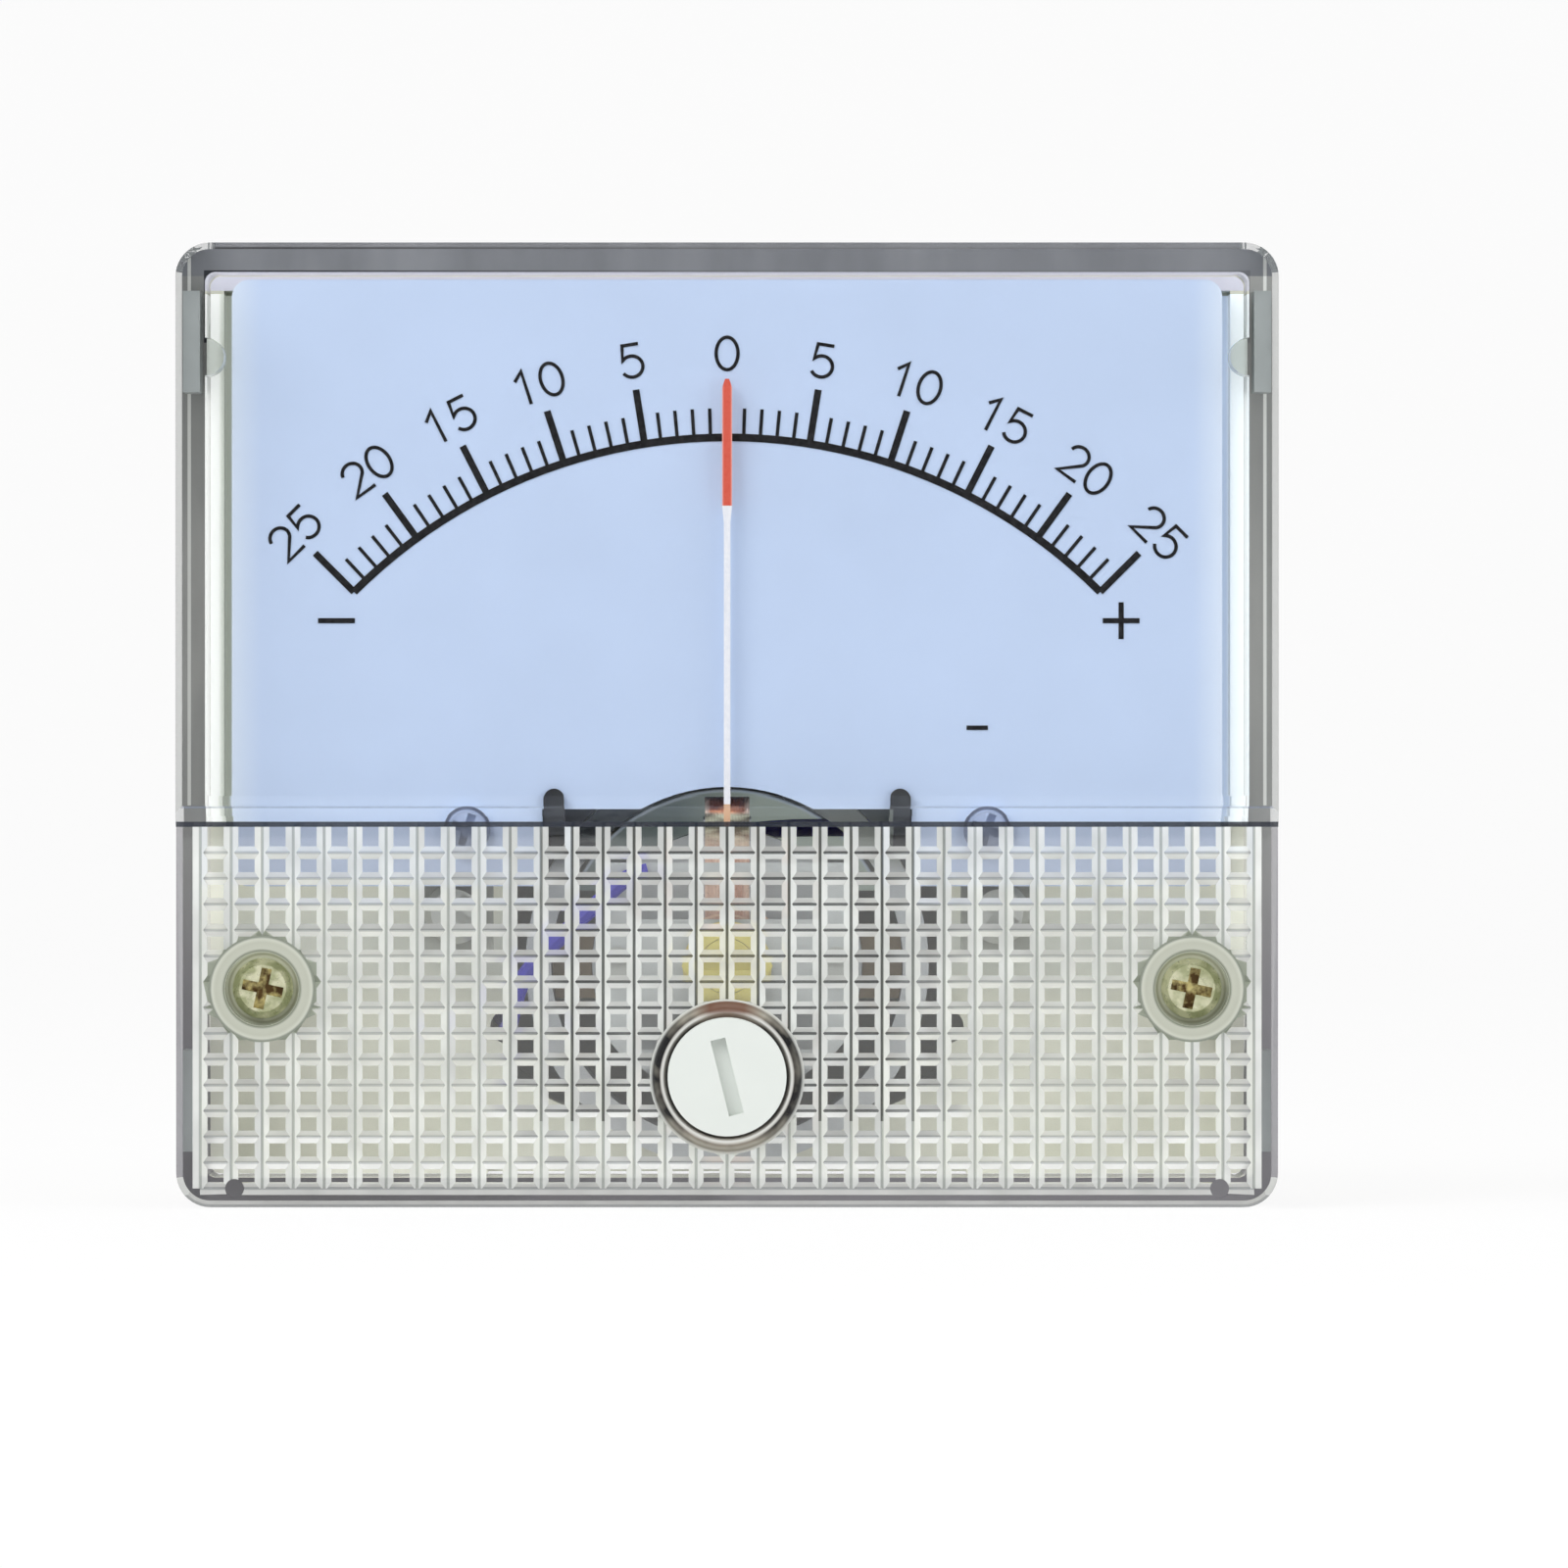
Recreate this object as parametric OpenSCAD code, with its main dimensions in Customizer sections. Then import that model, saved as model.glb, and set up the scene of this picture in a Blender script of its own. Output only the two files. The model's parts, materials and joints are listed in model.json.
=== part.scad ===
// Analog panel meter, centre zero, in a rectangular case with a round drum behind the panel.
// +Y points into the panel, +Z up. The origin is on the drum's axis, in the plane of the panel.

/* [Case] */
// Width of the front
case_w = 64; // [62:1:70]
// Height of the front
case_h = 56; // [56:1:62]
// Outer corner radius of the front
corner_r = 2; // [1:0.5:3]
// How far the window stands in front of the panel
cover_depth = 14.5; // [14.5:0.5:18]
// How far the ribbed lower field lies behind the window
field_step = 1.3; // [0.9:0.1:1.4]
// Thickness of the cover's side walls
side_wall = 1.7; // [1.5:0.1:1.9]
// Thickness of the window
window_t = 1.5; // [1:0.1:1.6]
// Thickness of the ribbed lower field
field_t = 1.6; // [1.2:0.1:1.7]
// Height of the window's lower edge above the front's lower edge
window_foot_up = 23.3; // [22:0.1:24]
// Height of the sloping band below the window
bevel_h = 1.2; // [0.8:0.1:1.6]
// Chamfer along the cover's front edges
edge_c = 0.4; // [0.2:0.1:0.6]

/* [Waffle field] */
// Number of columns of raised squares
waffle_cols = 34; // [20:1:40]
// Number of rows of raised squares
waffle_rows = 14; // [8:1:18]
// Depth of the upright grooves
groove_v_depth = 0.5; // [0.2:0.05:0.6]
// Width of the upright grooves
groove_v_w = 0.86; // [0.4:0.02:1]
// Depth of the level grooves
groove_h_depth = 0.3; // [0.1:0.05:0.5]
// Width of the level grooves
groove_h_w = 0.74; // [0.3:0.02:0.9]

/* [Cover fittings] */
// Distance of the cover screws from the front's side edges
screw_inset = 5; // [5:0.25:5.5]
// Height of the cover screws and the mounting studs above the front's lower edge
screw_up = 12.7; // [11.5:0.1:14]
// Outer diameter of the screw bosses
boss_d = 6.2; // [5.6:0.1:6.4]
// Diameter of the hole that sinks the screw head
sink_d = 4.3; // [4:0.1:4.6]
// Height of the zero adjuster above the front's lower edge
adjuster_up = 7.6; // [7.2:0.1:8]
// Diameter of the zero adjuster's head
adjuster_head_d = 6.9; // [6:0.1:7.2]
// Outer diameter of the collar round the adjuster
collar_d = 9; // [8.4:0.1:10]
// Diameter of the adjuster's stem
adjuster_stem_d = 4; // [3:0.1:4.4]
// Throw of the adjuster's eccentric pin
adjuster_throw = 1; // [0.8:0.05:1.2]
// Angle of the adjuster's slot from upright
adjuster_slot_deg = 14; // [0:1:30]

/* [Drum and studs] */
// How far the front stands out above and below the drum
drum_inset = 2.5; // [2:0.25:2.5]
// Depth of the drum behind the panel
drum_depth = 27; // [26:0.5:34]
// Wall of the drum
drum_wall = 1.2; // [1:0.1:1.3]
// Diameter of the mounting studs
stud_d = 3; // [2.5:0.5:3]
// Length of the mounting studs behind the panel
stud_len = 16; // [10:0.5:20]
// Distance between the terminals
terminal_spacing = 26; // [22:0.5:28]
// Diameter of the terminal studs
terminal_d = 4; // [3:0.5:4]
// Free end of the terminal studs beyond the last nut
terminal_free = 5; // [3:0.5:8]

/* [Dial] */
// Distance of the dial plate from the front's side edges
dial_side_inset = 3.1; // [3:0.1:5]
// Distance of the dial plate from the front's upper edge
dial_top_inset = 2; // [2:0.1:3]
// Height of the dial plate's lower edge above the front's lower edge
dial_foot_up = 18.6; // [18.6:0.1:19.4]
// Thickness of the dial plate
dial_t = 0.4; // [0.3:0.1:0.6]
// Space between the window and the dial
dial_gap = 5.2; // [5.1:0.1:5.6]
// Radius of the scale's arc
arc_r = 30.8; // [28:0.1:31.4]
// Width of the scale's arc line
arc_line = 0.45; // [0.3:0.05:0.6]
// Angle of full scale on either side of zero
scale_deg = 45; // [40:1:45]
// Main divisions on either side of zero
scale_majors = 5; // [2:1:6]
// Small divisions in each main division
scale_minors = 5; // [2:1:5]
// Length of the main ticks
major_len = 3.2; // [2.4:0.1:3.6]
// Length of the small ticks
minor_len = 1.7; // [1:0.1:2.4]

/* [Movement] */
// Height of the pivot above the front's lower edge
pivot_up = 14; // [13.9:0.1:14.1]
// Radius of the magnet core
core_r = 7.9; // [7:0.1:8]
// Length of the magnet core
core_len = 10; // [8:0.5:12]
// Half the outer height of the coil
coil_r = 9.8; // [9.5:0.1:9.9]
// Width of the coil
coil_w = 2.6; // [2:0.1:3]
// Thickness of the winding
winding_t = 1.2; // [0.8:0.1:1.2]
// Inner radius of the yoke ring
yoke_in_r = 10.3; // [10.3:0.05:10.5]
// Outer radius of the yoke ring
yoke_out_r = 11.8; // [11.4:0.1:11.8]
// Radius of the pointer's tip
pointer_r = 34.2; // [32:0.1:34.6]
// Width of the pointer's thin part
pointer_w = 0.38; // [0.3:0.02:0.5]
// Width of the pointer's coloured tip
pointer_tip_w = 0.58; // [0.4:0.02:0.8]
// Half the width of the front bridge
bridge_half_w = 7.2; // [6.9:0.1:7.6]
// Turns of each hairspring
spring_turns = 4; // [3:1:5]
// Diameter of the leads
lead_d = 0.96; // [0.7:0.02:1.1]

/* [Hidden] */
$fn = 96;

// Clearances
fit = 0.1;         // between pieces that are put together
screw_gap = 0.03;  // between a thread and its hole
run = 0.05;        // radial running clearance
graze = 0.05;      // how far a cutter starts outside the surface
over = 1;          // how far a cutter runs past the body

// Cover, from the front back
y_window = -cover_depth;
y_field = y_window + field_step;
y_window_in = y_window + window_t;
y_field_in = y_field + field_t;
wall_in_w = case_w - 2 * side_wall;
wall_in_h = case_h - 2 * side_wall;
top_z = case_h / 2;
foot_z = -case_h / 2;
window_foot_z = foot_z + window_foot_up;
field_top_z = window_foot_z - bevel_h;
border = 1.4;                              // plain rim round the waffle field
waffle_w = case_w - 2 * border;
foot_border = 1.1;
notch_r = 0.55;                            // half-round notches below the field, to prise the cover off
notch_inset = 3.4;
waffle_foot_z = foot_z + foot_border;
waffle_h = field_top_z - waffle_foot_z;
waffle_px = waffle_w / waffle_cols;
waffle_pz = waffle_h / waffle_rows;
inner_corner_r = 0.6;
bevel_in_rise = 0.6;                       // the inner band lies higher, so that the wall stays even
bevel_in_top_z = window_foot_z + bevel_in_rise;
bevel_in_foot_z = field_top_z + bevel_in_rise;
pocket_w = 1;                              // slots in the side walls for the snap hooks of a bezel
pocket_h = 5.9;
pocket_depth = 8;
pocket_out = 0.3;                          // skin left outside the slot
pocket_top_z = top_z - 5.65;
pocket_low_z = foot_z + 6.1;
pip_r = 1.1;
pip_z = top_z - 6.6;
boss_proud = 0.3;
boss_rib_t = 1.4;
screw_x = case_w / 2 - screw_inset;
screw_z = foot_z + screw_up;
cover_screw_d = 2;
cover_head_d = 3.5;
cover_head_h = 1.3;
sink_floor_y = y_field_in + 0.7;           // where the screw head seats
adjuster_z = foot_z + adjuster_up;
collar_proud = 0.9;
collar_recess = 1.1;
collar_out_c = 0.5;
collar_in_c = 0.15;
y_collar = y_field - collar_proud;
adjuster_head_h = 1.2;
recess_r = adjuster_head_d / 2 + 0.15;
adjuster_stem_r = adjuster_stem_d / 2;
bead_r = adjuster_stem_r + 0.25;
bead_t = 0.4;
pin_r = 0.5;

// Dial and what hangs from it
y_dial = y_window_in + dial_gap;
y_dial_back = y_dial + dial_t;
ink_t = 0.04;
dial_w = case_w - 2 * dial_side_inset;
dial_top_z = top_z - dial_top_inset;
dial_foot_z = foot_z + dial_foot_up;
pivot_z = foot_z + pivot_up;
arch_r = yoke_in_r + 0.1;
cutout_half_w = 10.8;
cutout_top_z = pivot_z + 9.1;
dial_screw_x = 15.2;
dial_screw_z = dial_foot_z + 3.3;
dial_screw_r = 0.75;
dial_screw_head_r = 1.4;
dial_screw_head_h = 0.8;
dial_screw_len = 3.3;
dial_boss_r = 2.1;
dial_boss_len = 2;
dial_corner_r = 1;

// Movement, layer by layer in front of the dial
pointer_t = 0.2;
y_pointer_back = y_dial - 0.85;
y_pointer = y_pointer_back - pointer_t;
cross_t = 0.25;
spring_w = 0.3;
spring_t = 0.12;
y_spring_back = y_pointer - 0.25;
y_spring = y_spring_back - spring_w;
bridge_t = 0.6;
y_bridge_back = y_spring - 0.2;
y_bridge = y_bridge_back - bridge_t;
washer_t = 0.3;
y_washer = y_bridge - run - washer_t;
regulator_t = 0.3;
y_regulator_back = y_washer - run;
y_regulator = y_regulator_back - regulator_t;
locknut_t = 0.4;
y_locknut = y_regulator - run - locknut_t;
jewel_screw_r = 1.6;
y_jewel_front = y_locknut - run;
y_front_jewel_mouth = y_bridge_back + run;
y_pin_end = y_regulator_back + 0.15;
y_bead = y_field_in + fit;

// Movement behind the dial
carrier_t = 2;
y_carrier = y_dial_back + dial_boss_len;
y_carrier_back = y_carrier + carrier_t;
y_core = y_carrier + 0.8;
y_core_back = y_core + core_len;
coil_play = 0.4;
former_t = 0.25;
former_w = coil_w + 0.2;
y_coil = y_core - coil_play - former_t - winding_t;
y_coil_back = y_core_back + coil_play + former_t + winding_t;
staff_base_t = 0.5;
staff_base_r = 1.25;
staff_r = 0.35;
y_rear_spring = y_coil_back + staff_base_t + 0.6;
y_rear_spring_back = y_rear_spring + spring_w;
y_rear_bridge = y_rear_spring_back + 0.3;
y_rear_bridge_back = y_rear_bridge + bridge_t;
y_rear_anchor_back = y_rear_bridge_back + run + regulator_t;
y_rear_nut_back = y_rear_anchor_back + run + locknut_t;
y_jewel_back = y_rear_nut_back + 0.5;
y_rear_jewel_mouth = y_rear_bridge - run;
y_yoke = y_carrier;
y_yoke_back = y_core_back;
leg_in_x = 5.6;
leg_half_h = 2;
tie_x = 6.4;
tie_r = 0.55;
tie_head_r = 1.1;
tie_head_h = 0.5;
spring_in_r = 0.8;
spring_out_r = 3.6;
collet_r = 0.74;
tab_r = spring_out_r + 0.2;
tab_t = 0.25;
tab_w = 0.8;
ring_r = 2.6;
fork_in_r = 4.4;
fork_out_r = -(adjuster_z - pivot_z) + 0.4;
fork_slot_half = pin_r + run + 0.05;
arm_r = 3.6;
weight_len = 1.1;
weight_r = 0.45;
ear_screw_x = 15.9;
ear_screw_z = pivot_z + 3;
ear_screw_d = 2;
ear_screw_head_r = 1.8;
ear_screw_head_h = 1.3;
ear_screw_end_y = -0.6;
ear_half_w = 2.2;
ear_x = ear_screw_x + ear_half_w;
ear_in_x = ear_screw_x - ear_half_w;
ear_half_h = 2.4;
carrier_top_w = 11.5;                      // half widths and heights above the pivot
carrier_top = 13.2;
carrier_w = 17.6;
carrier_shoulder = 10.2;
carrier_foot = dial_foot_z - pivot_z + 0.2;
prong_w = 1.2;
prong_x = cutout_half_w - fit - prong_w / 2;
prong_top_z = cutout_top_z + 1.2;
prong_foot_z = cutout_top_z - 1.5;
prong_t = 0.5;                             // thickness of the hook in front of the dial
hook_gap = 0.03;

// Rear base
base_t = 2.2;
base_w = wall_in_w - 2 * fit;
base_h = wall_in_h - 2 * fit;
drum_r = top_z - drum_inset;
drum_in_r = drum_r - drum_wall;
drum_end_t = 2;
drum_end_c = 0.6;
rim_t = 0.8;
rim_front_y = -6.4;
rim_gap_half = 14;
shelf_in_x = yoke_out_r + 0.6;
shelf_top_z = ear_screw_z + 3.4;
lead_notch_x = 12.9;                       // where the leads pass the shelves
lead_notch_z = pivot_z - 3.7;
lead_notch_r = 1;
post_r = 1.9;
stud_x = screw_x;
stud_shoulder_r = stud_d / 2 + 0.25;       // plain shoulder pressed into the base
stud_flange_r = 2.2;
stud_flange_t = 1;
stud_front_r = 1.7;
y_stud_front = -6.9;
cover_thread_r = cover_screw_d / 2;
cover_screw_end_y = y_stud_front + 4;
terminal_x = terminal_spacing / 2;
terminal_r = terminal_d / 2;
pad_r = 4.6;
pad_h = 1.2;
y_drum_in = drum_depth - drum_end_t;
lug_t = 0.6;
lug_r = 3.9;
lug_tail_w = 2.4;
lug_tail_len = 8;
hex_flats = 7;
terminal_head_h = 3;
terminal_nut_h = 3.2;
terminal_washer_t = 0.8;
terminal_washer_r = 4.4;
y_pad = drum_depth + pad_h;
y_clamp_nut_back = y_pad + terminal_nut_h;
y_washer_back = y_clamp_nut_back + terminal_washer_t;
y_outer_nut_back = y_washer_back + terminal_nut_h;
y_terminal_end = y_outer_nut_back + terminal_free;

// Leads: the front one from the front bridge down past the carrier and back to the left terminal,
// the rear one from the rear anchor to the right terminal
lead_r = lead_d / 2;
lead_sides = 8;
y_front_lead = y_bridge - lead_r - 0.02;
y_lug_lead = y_drum_in - lug_t - 0.05;
lug_lead_z = 1.8 - lug_tail_len;
front_lead_points = [
  [-4.6, y_front_lead, pivot_z + 5.5], [-5.8, y_front_lead, pivot_z + 5.1],
  [-6.9, y_front_lead, pivot_z + 4.2], [-8.7, y_front_lead + 0.1, pivot_z + 2.6],
  [-10.4, y_front_lead + 0.3, pivot_z + 1], [-11.8, y_front_lead + 0.9, pivot_z - 0.6],
  [-12.4, y_front_lead + 2.2, pivot_z - 2.4], [-12.7, y_front_lead + 4.4, pivot_z - 3.5],
  [-lead_notch_x, -4, lead_notch_z - 0.1], [-lead_notch_x, -1, lead_notch_z],
  [-13.9, 3, pivot_z - 2], [-15, 9, pivot_z + 3], [-15, 15, -7.6],
  [-14, y_lug_lead - 4.4, -6.4], [-terminal_x - 0.1, y_lug_lead - 1.8, lug_lead_z],
  [-terminal_x, y_lug_lead, lug_lead_z]];
rear_lead_points = [
  [0, 11.2, pivot_z + 7.4], [1.2, 13, pivot_z + 7.6], [4, 15.2, -6.2], [8, 17.6, -6.2],
  [11.4, y_lug_lead - 4.2, -6.3], [terminal_x - 0.1, y_lug_lead - 1.8, lug_lead_z],
  [terminal_x, y_lug_lead, lug_lead_z]];

// ---- helpers ----

// Extrudes a drawing in the X-Z plane from y0 back to y1
module slab(y0, y1) {
  translate([0, y1, 0]) rotate([90, 0, 0]) linear_extrude(y1 - y0) children();
}

// Extrudes a drawing in the Y-Z plane across the width w
module across(w) {
  rotate([90, 0, 90]) linear_extrude(w, center = true) children();
}

// A round bar along Y, at x and z
module rod(x, z, r, y0, y1) {
  translate([x, y0, z]) rotate([-90, 0, 0]) cylinder(h = y1 - y0, r = r);
}

// A cone along Y, r0 at y0 and r1 at y1
module spike(x, z, r0, r1, y0, y1) {
  translate([x, y0, z]) rotate([-90, 0, 0]) cylinder(h = y1 - y0, r1 = r0, r2 = r1);
}

// A block between two corners
module block(x0, x1, y0, y1, z0, z1) {
  translate([x0, y0, z0]) cube([x1 - x0, y1 - y0, z1 - z0]);
}

module rounded_rect(w, h, r) {
  square([w, h - 2 * r], center = true);
  square([w - 2 * r, h], center = true);
  for (sx = [-1, 1], sz = [-1, 1])
    translate([sx * (w / 2 - r), sz * (h / 2 - r)]) circle(r);
}

// A hexagon with flats of size s
module hexagon(s) {
  circle(d = s / cos(30), $fn = 6);
}

// What lies on the right, and its mirror image on the left
module both_sides() {
  for (m = [0, 1]) mirror([m, 0, 0]) children();
}

// A rounded plate from y0 to y1 whose front edge has the chamfer c
module chamfered_plate(w, h, r, y0, y1, c) {
  slab(y0 + c, y1) rounded_rect(w, h, r);
  across(w - 2 * r)
    polygon([[y0, h / 2 - c], [y0, -h / 2 + c], [y0 + c, -h / 2], [y0 + c, h / 2]]);
  translate([0, 0, -h / 2 + r]) linear_extrude(h - 2 * r)
    polygon([[-w / 2 + c, y0], [w / 2 - c, y0], [w / 2, y0 + c], [-w / 2, y0 + c]]);
  for (sx = [-1, 1], sz = [-1, 1])
    spike(sx * (w / 2 - r), sz * (h / 2 - r), r - c, r, y0, y0 + c);
}

// Notches of a row of V grooves: n + 1 of them, a pitch apart, opening in front of depth 0
function groove_row(n, pitch, w, d) = let (half = w / 2 * (1 + graze / d))
  [for (i = [0:n]) each [[i * pitch - half, -graze], [i * pitch, d], [i * pitch + half, -graze]]];

// Smooth curve through a list of points
function spline_point(p, i, t) =
  let (a = p[max(i - 1, 0)], b = p[i], c = p[i + 1], d = p[min(i + 2, len(p) - 1)])
  0.5 * (2 * b + (c - a) * t + (2 * a - 5 * b + 4 * c - d) * t * t
    + (3 * b - a - 3 * c + d) * t * t * t);
function spline(p, steps) = concat(
  [for (i = [0:len(p) - 2], s = [0:steps - 1]) spline_point(p, i, s / steps)], [p[len(p) - 1]]);
function unit(v) = v / norm(v);
function along(p, i) = unit(p[min(i + 1, len(p) - 1)] - p[max(i - 1, 0)]);
// Cross direction carried from ring to ring, so that the tube doesn't twist
function frames(p, i, n) = let (t = along(p, i), flat = unit(n - (n * t) * t))
  i == len(p) - 1 ? [flat] : concat([flat], frames(p, i + 1, flat));

// A tube of radius r swept through the points
module tube(points, r) {
  path = spline(points, 2);
  normals = frames(path, 0, [0, 0, 1]);
  rings = len(path);
  verts = [for (i = [0:rings - 1], k = [0:lead_sides - 1])
    let (a = 360 * k / lead_sides, t = along(path, i), u = normals[i])
    path[i] + r * (cos(a) * u + sin(a) * cross(t, u))];
  sides = [for (i = [0:rings - 2], k = [0:lead_sides - 1])
    let (k2 = (k + 1) % lead_sides)
    [i * lead_sides + k, (i + 1) * lead_sides + k, (i + 1) * lead_sides + k2, i * lead_sides + k2]];
  first = [for (k = [0:lead_sides - 1]) k];
  last = [for (k = [lead_sides - 1:-1:0]) (rings - 1) * lead_sides + k];
  polyhedron(points = verts, faces = concat([first], sides, [last]));
}

// ---- cover ----

module waffle_cutters() {
  translate([0, 0, waffle_foot_z]) linear_extrude(waffle_h)
    polygon(concat([[-waffle_w / 2 - over, y_field - over]],
      [for (g = groove_row(waffle_cols, waffle_px, groove_v_w, groove_v_depth))
        [g[0] - waffle_w / 2, y_field + g[1]]],
      [[waffle_w / 2 + over, y_field - over]]));
  across(waffle_w)
    polygon(concat([[y_field - over, waffle_foot_z - over]],
      [for (g = groove_row(waffle_rows - 1, waffle_pz, groove_h_w, groove_h_depth))
        [y_field + g[1], g[0] + waffle_foot_z]],
      [[y_field - over, field_top_z - waffle_pz + over]]));
}

module cover_outside() {
  chamfered_plate(case_w, case_h, corner_r, y_field, 0, edge_c);
  intersection() {
    chamfered_plate(case_w, case_h, corner_r, y_window, 0, edge_c);
    across(case_w + over)
      polygon([[y_window - over, case_h], [0, case_h], [0, field_top_z], [y_field, field_top_z],
        [y_window, window_foot_z], [y_window - over, window_foot_z]]);
  }
}

module cover_inside() {
  intersection() {
    across(wall_in_w + over)
      polygon([[y_window_in, case_h], [over, case_h], [over, -case_h], [y_field_in, -case_h],
        [y_field_in, bevel_in_foot_z], [y_window_in, bevel_in_top_z]]);
    slab(y_window, over + over) rounded_rect(wall_in_w, wall_in_h, inner_corner_r);
  }
}

module snap_pocket(z) {
  x1 = case_w / 2 - pocket_out;
  block(x1 - pocket_w, x1, -pocket_depth, over, z - pocket_h / 2, z + pocket_h / 2);
}

module cover_boss() {
  rod(screw_x, screw_z, boss_d / 2, y_field - boss_proud, y_stud_front - fit);
  block(screw_x + boss_d / 2 - 1, wall_in_w / 2 + 0.2, y_field_in - 0.2, y_stud_front - fit,
    screw_z - boss_rib_t / 2, screw_z + boss_rib_t / 2);
}

module front_cover() color([0.86, 0.89, 0.95, 0.35]) {
  difference() {
    union() {
      difference() {
        cover_outside();
        cover_inside();
        waffle_cutters();
      }
      both_sides() {
        cover_boss();
        intersection() {
          rod(wall_in_w / 2, pip_z, pip_r, y_window_in - 0.2, y_dial - 0.3);
          block(0, case_w / 2 - 0.5, y_window, 0, 0, top_z);
        }
      }
      rod(0, adjuster_z, collar_d / 2, y_collar + collar_out_c, y_field_in);
      spike(0, adjuster_z, collar_d / 2 - collar_out_c, collar_d / 2, y_collar, y_collar + collar_out_c);
    }
    both_sides() {
      rod(case_w / 2 - notch_inset, waffle_foot_z, notch_r, y_field - over, y_field + groove_v_depth);
      snap_pocket(pocket_top_z);
      snap_pocket(pocket_low_z);
      rod(screw_x, screw_z, sink_d / 2, y_field - over, sink_floor_y);
      rod(screw_x, screw_z, cover_thread_r + fit, sink_floor_y - over, 0);
    }
    rod(0, adjuster_z, recess_r, y_collar - over, y_collar + collar_recess);
    spike(0, adjuster_z, recess_r + collar_in_c + graze, recess_r, y_collar - graze, y_collar + collar_in_c);
    rod(0, adjuster_z, adjuster_stem_r + run, y_field - over, y_field_in + over);
  }
}

// A pan head screw whose head lies in front of y0 and whose shank ends at y1, with a cross recess
module cross_screw(x, z, head_r, head_h, shank_r, y0, y1, turn) {
  arm_w = head_r * 0.34;
  arm_len = head_r * 0.68;
  difference() {
    union() {
      rod(x, z, head_r, y0 - head_h * 0.6, y0);
      spike(x, z, head_r * 0.78, head_r, y0 - head_h, y0 - head_h * 0.6);
    }
    translate([x, y0 - head_h - over, z]) rotate([0, turn, 0]) {
      block(-arm_len, arm_len, 0, over + head_h * 0.55, -arm_w / 2, arm_w / 2);
      block(-arm_w / 2, arm_w / 2, 0, over + head_h * 0.55, -arm_len, arm_len);
    }
  }
  rod(x, z, shank_r, y0, y1);
}

module cover_screws() color([0.86, 0.84, 0.76]) {
  for (side = [-1, 1])
    cross_screw(side * screw_x, screw_z, cover_head_d / 2, cover_head_h, cover_thread_r,
      sink_floor_y, cover_screw_end_y, 12);
}

module zero_adjuster() color([0.94, 0.95, 0.92]) {
  head_back = y_collar + collar_recess - run;
  head_front = head_back - adjuster_head_h;
  slot_w = 0.87;
  slot_len = 4.5;
  slot_depth = 0.7;
  difference() {
    rod(0, adjuster_z, adjuster_head_d / 2, head_front, head_back);
    translate([0, 0, adjuster_z]) rotate([0, -adjuster_slot_deg, 0])
      slab(head_front - over, head_front + slot_depth) square([slot_w, slot_len], center = true);
  }
  rod(0, adjuster_z, adjuster_stem_r, head_back, y_bead);
  rod(0, adjuster_z, bead_r, y_bead, y_bead + bead_t);
  rod(0, adjuster_z + adjuster_throw, pin_r, y_bead + bead_t, y_pin_end);
}

// ---- dial ----

module dial_outline() {
  h = dial_top_z - dial_foot_z;
  difference() {
    translate([0, dial_foot_z + h / 2]) rounded_rect(dial_w, h, dial_corner_r);
    translate([-cutout_half_w, dial_foot_z - over])
      square([2 * cutout_half_w, cutout_top_z - dial_foot_z + over]);
    translate([0, pivot_z]) circle(arch_r);
  }
}

module dial_plate() color([0.75, 0.82, 0.94]) {
  difference() {
    slab(y_dial, y_dial_back) dial_outline();
    for (side = [-1, 1])
      rod(side * dial_screw_x, dial_screw_z, dial_screw_r + fit, y_dial - over, y_dial_back + over);
  }
}

module tick(deg, length, w) {
  rotate(-deg) translate([-w / 2, arc_r]) square([w, length]);
}

module scale_marks() color([0.08, 0.08, 0.1]) {
  step = scale_deg / scale_majors / scale_minors;
  half = scale_majors * scale_minors;
  wedge_r = arc_r * 2;
  slab(y_dial - ink_t, y_dial) translate([0, pivot_z]) {
    intersection() {
      difference() {
        circle(arc_r + arc_line / 2, $fn = 240);
        circle(arc_r - arc_line / 2, $fn = 240);
      }
      polygon([[0, 0], [-wedge_r * sin(scale_deg), wedge_r * cos(scale_deg)],
        [wedge_r * sin(scale_deg), wedge_r * cos(scale_deg)]]);
    }
    for (i = [-half:half])
      tick(i * step, i % scale_minors == 0 ? major_len : minor_len,
        i % scale_minors == 0 ? 0.4 : 0.2);
  }
}

module dial_screws() color([0.35, 0.36, 0.4]) {
  for (side = [-1, 1])
    cross_screw(side * dial_screw_x, dial_screw_z, dial_screw_head_r, dial_screw_head_h, dial_screw_r,
      y_dial, y_dial + dial_screw_len, 20);
}

// ---- fixed parts of the movement ----

module carrier_outline() {
  ear = ear_screw_z - pivot_z;
  side = [[carrier_top_w, carrier_top], [carrier_w, carrier_shoulder], [carrier_w, ear + ear_half_h + 1],
    [ear_x, ear + ear_half_h], [ear_x, ear - ear_half_h], [ear_in_x, ear - ear_half_h],
    [ear_in_x, carrier_foot]];
  polygon(concat(side, [for (i = [len(side) - 1:-1:0]) [-side[i][0], side[i][1]]]));
}

// A prong that comes through the dial's cut-out and hooks over its upper edge
module carrier_prong() {
  x0 = prong_x - prong_w / 2;
  x1 = prong_x + prong_w / 2;
  block(x0, x1, y_dial - prong_t, y_carrier + graze, prong_foot_z, cutout_top_z - fit);
  block(x0, x1, y_dial - prong_t, y_dial - hook_gap, cutout_top_z - fit - graze, prong_top_z - prong_w / 2);
  rod(prong_x, prong_top_z - prong_w / 2, prong_w / 2, y_dial - prong_t, y_dial - hook_gap);
}

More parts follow.
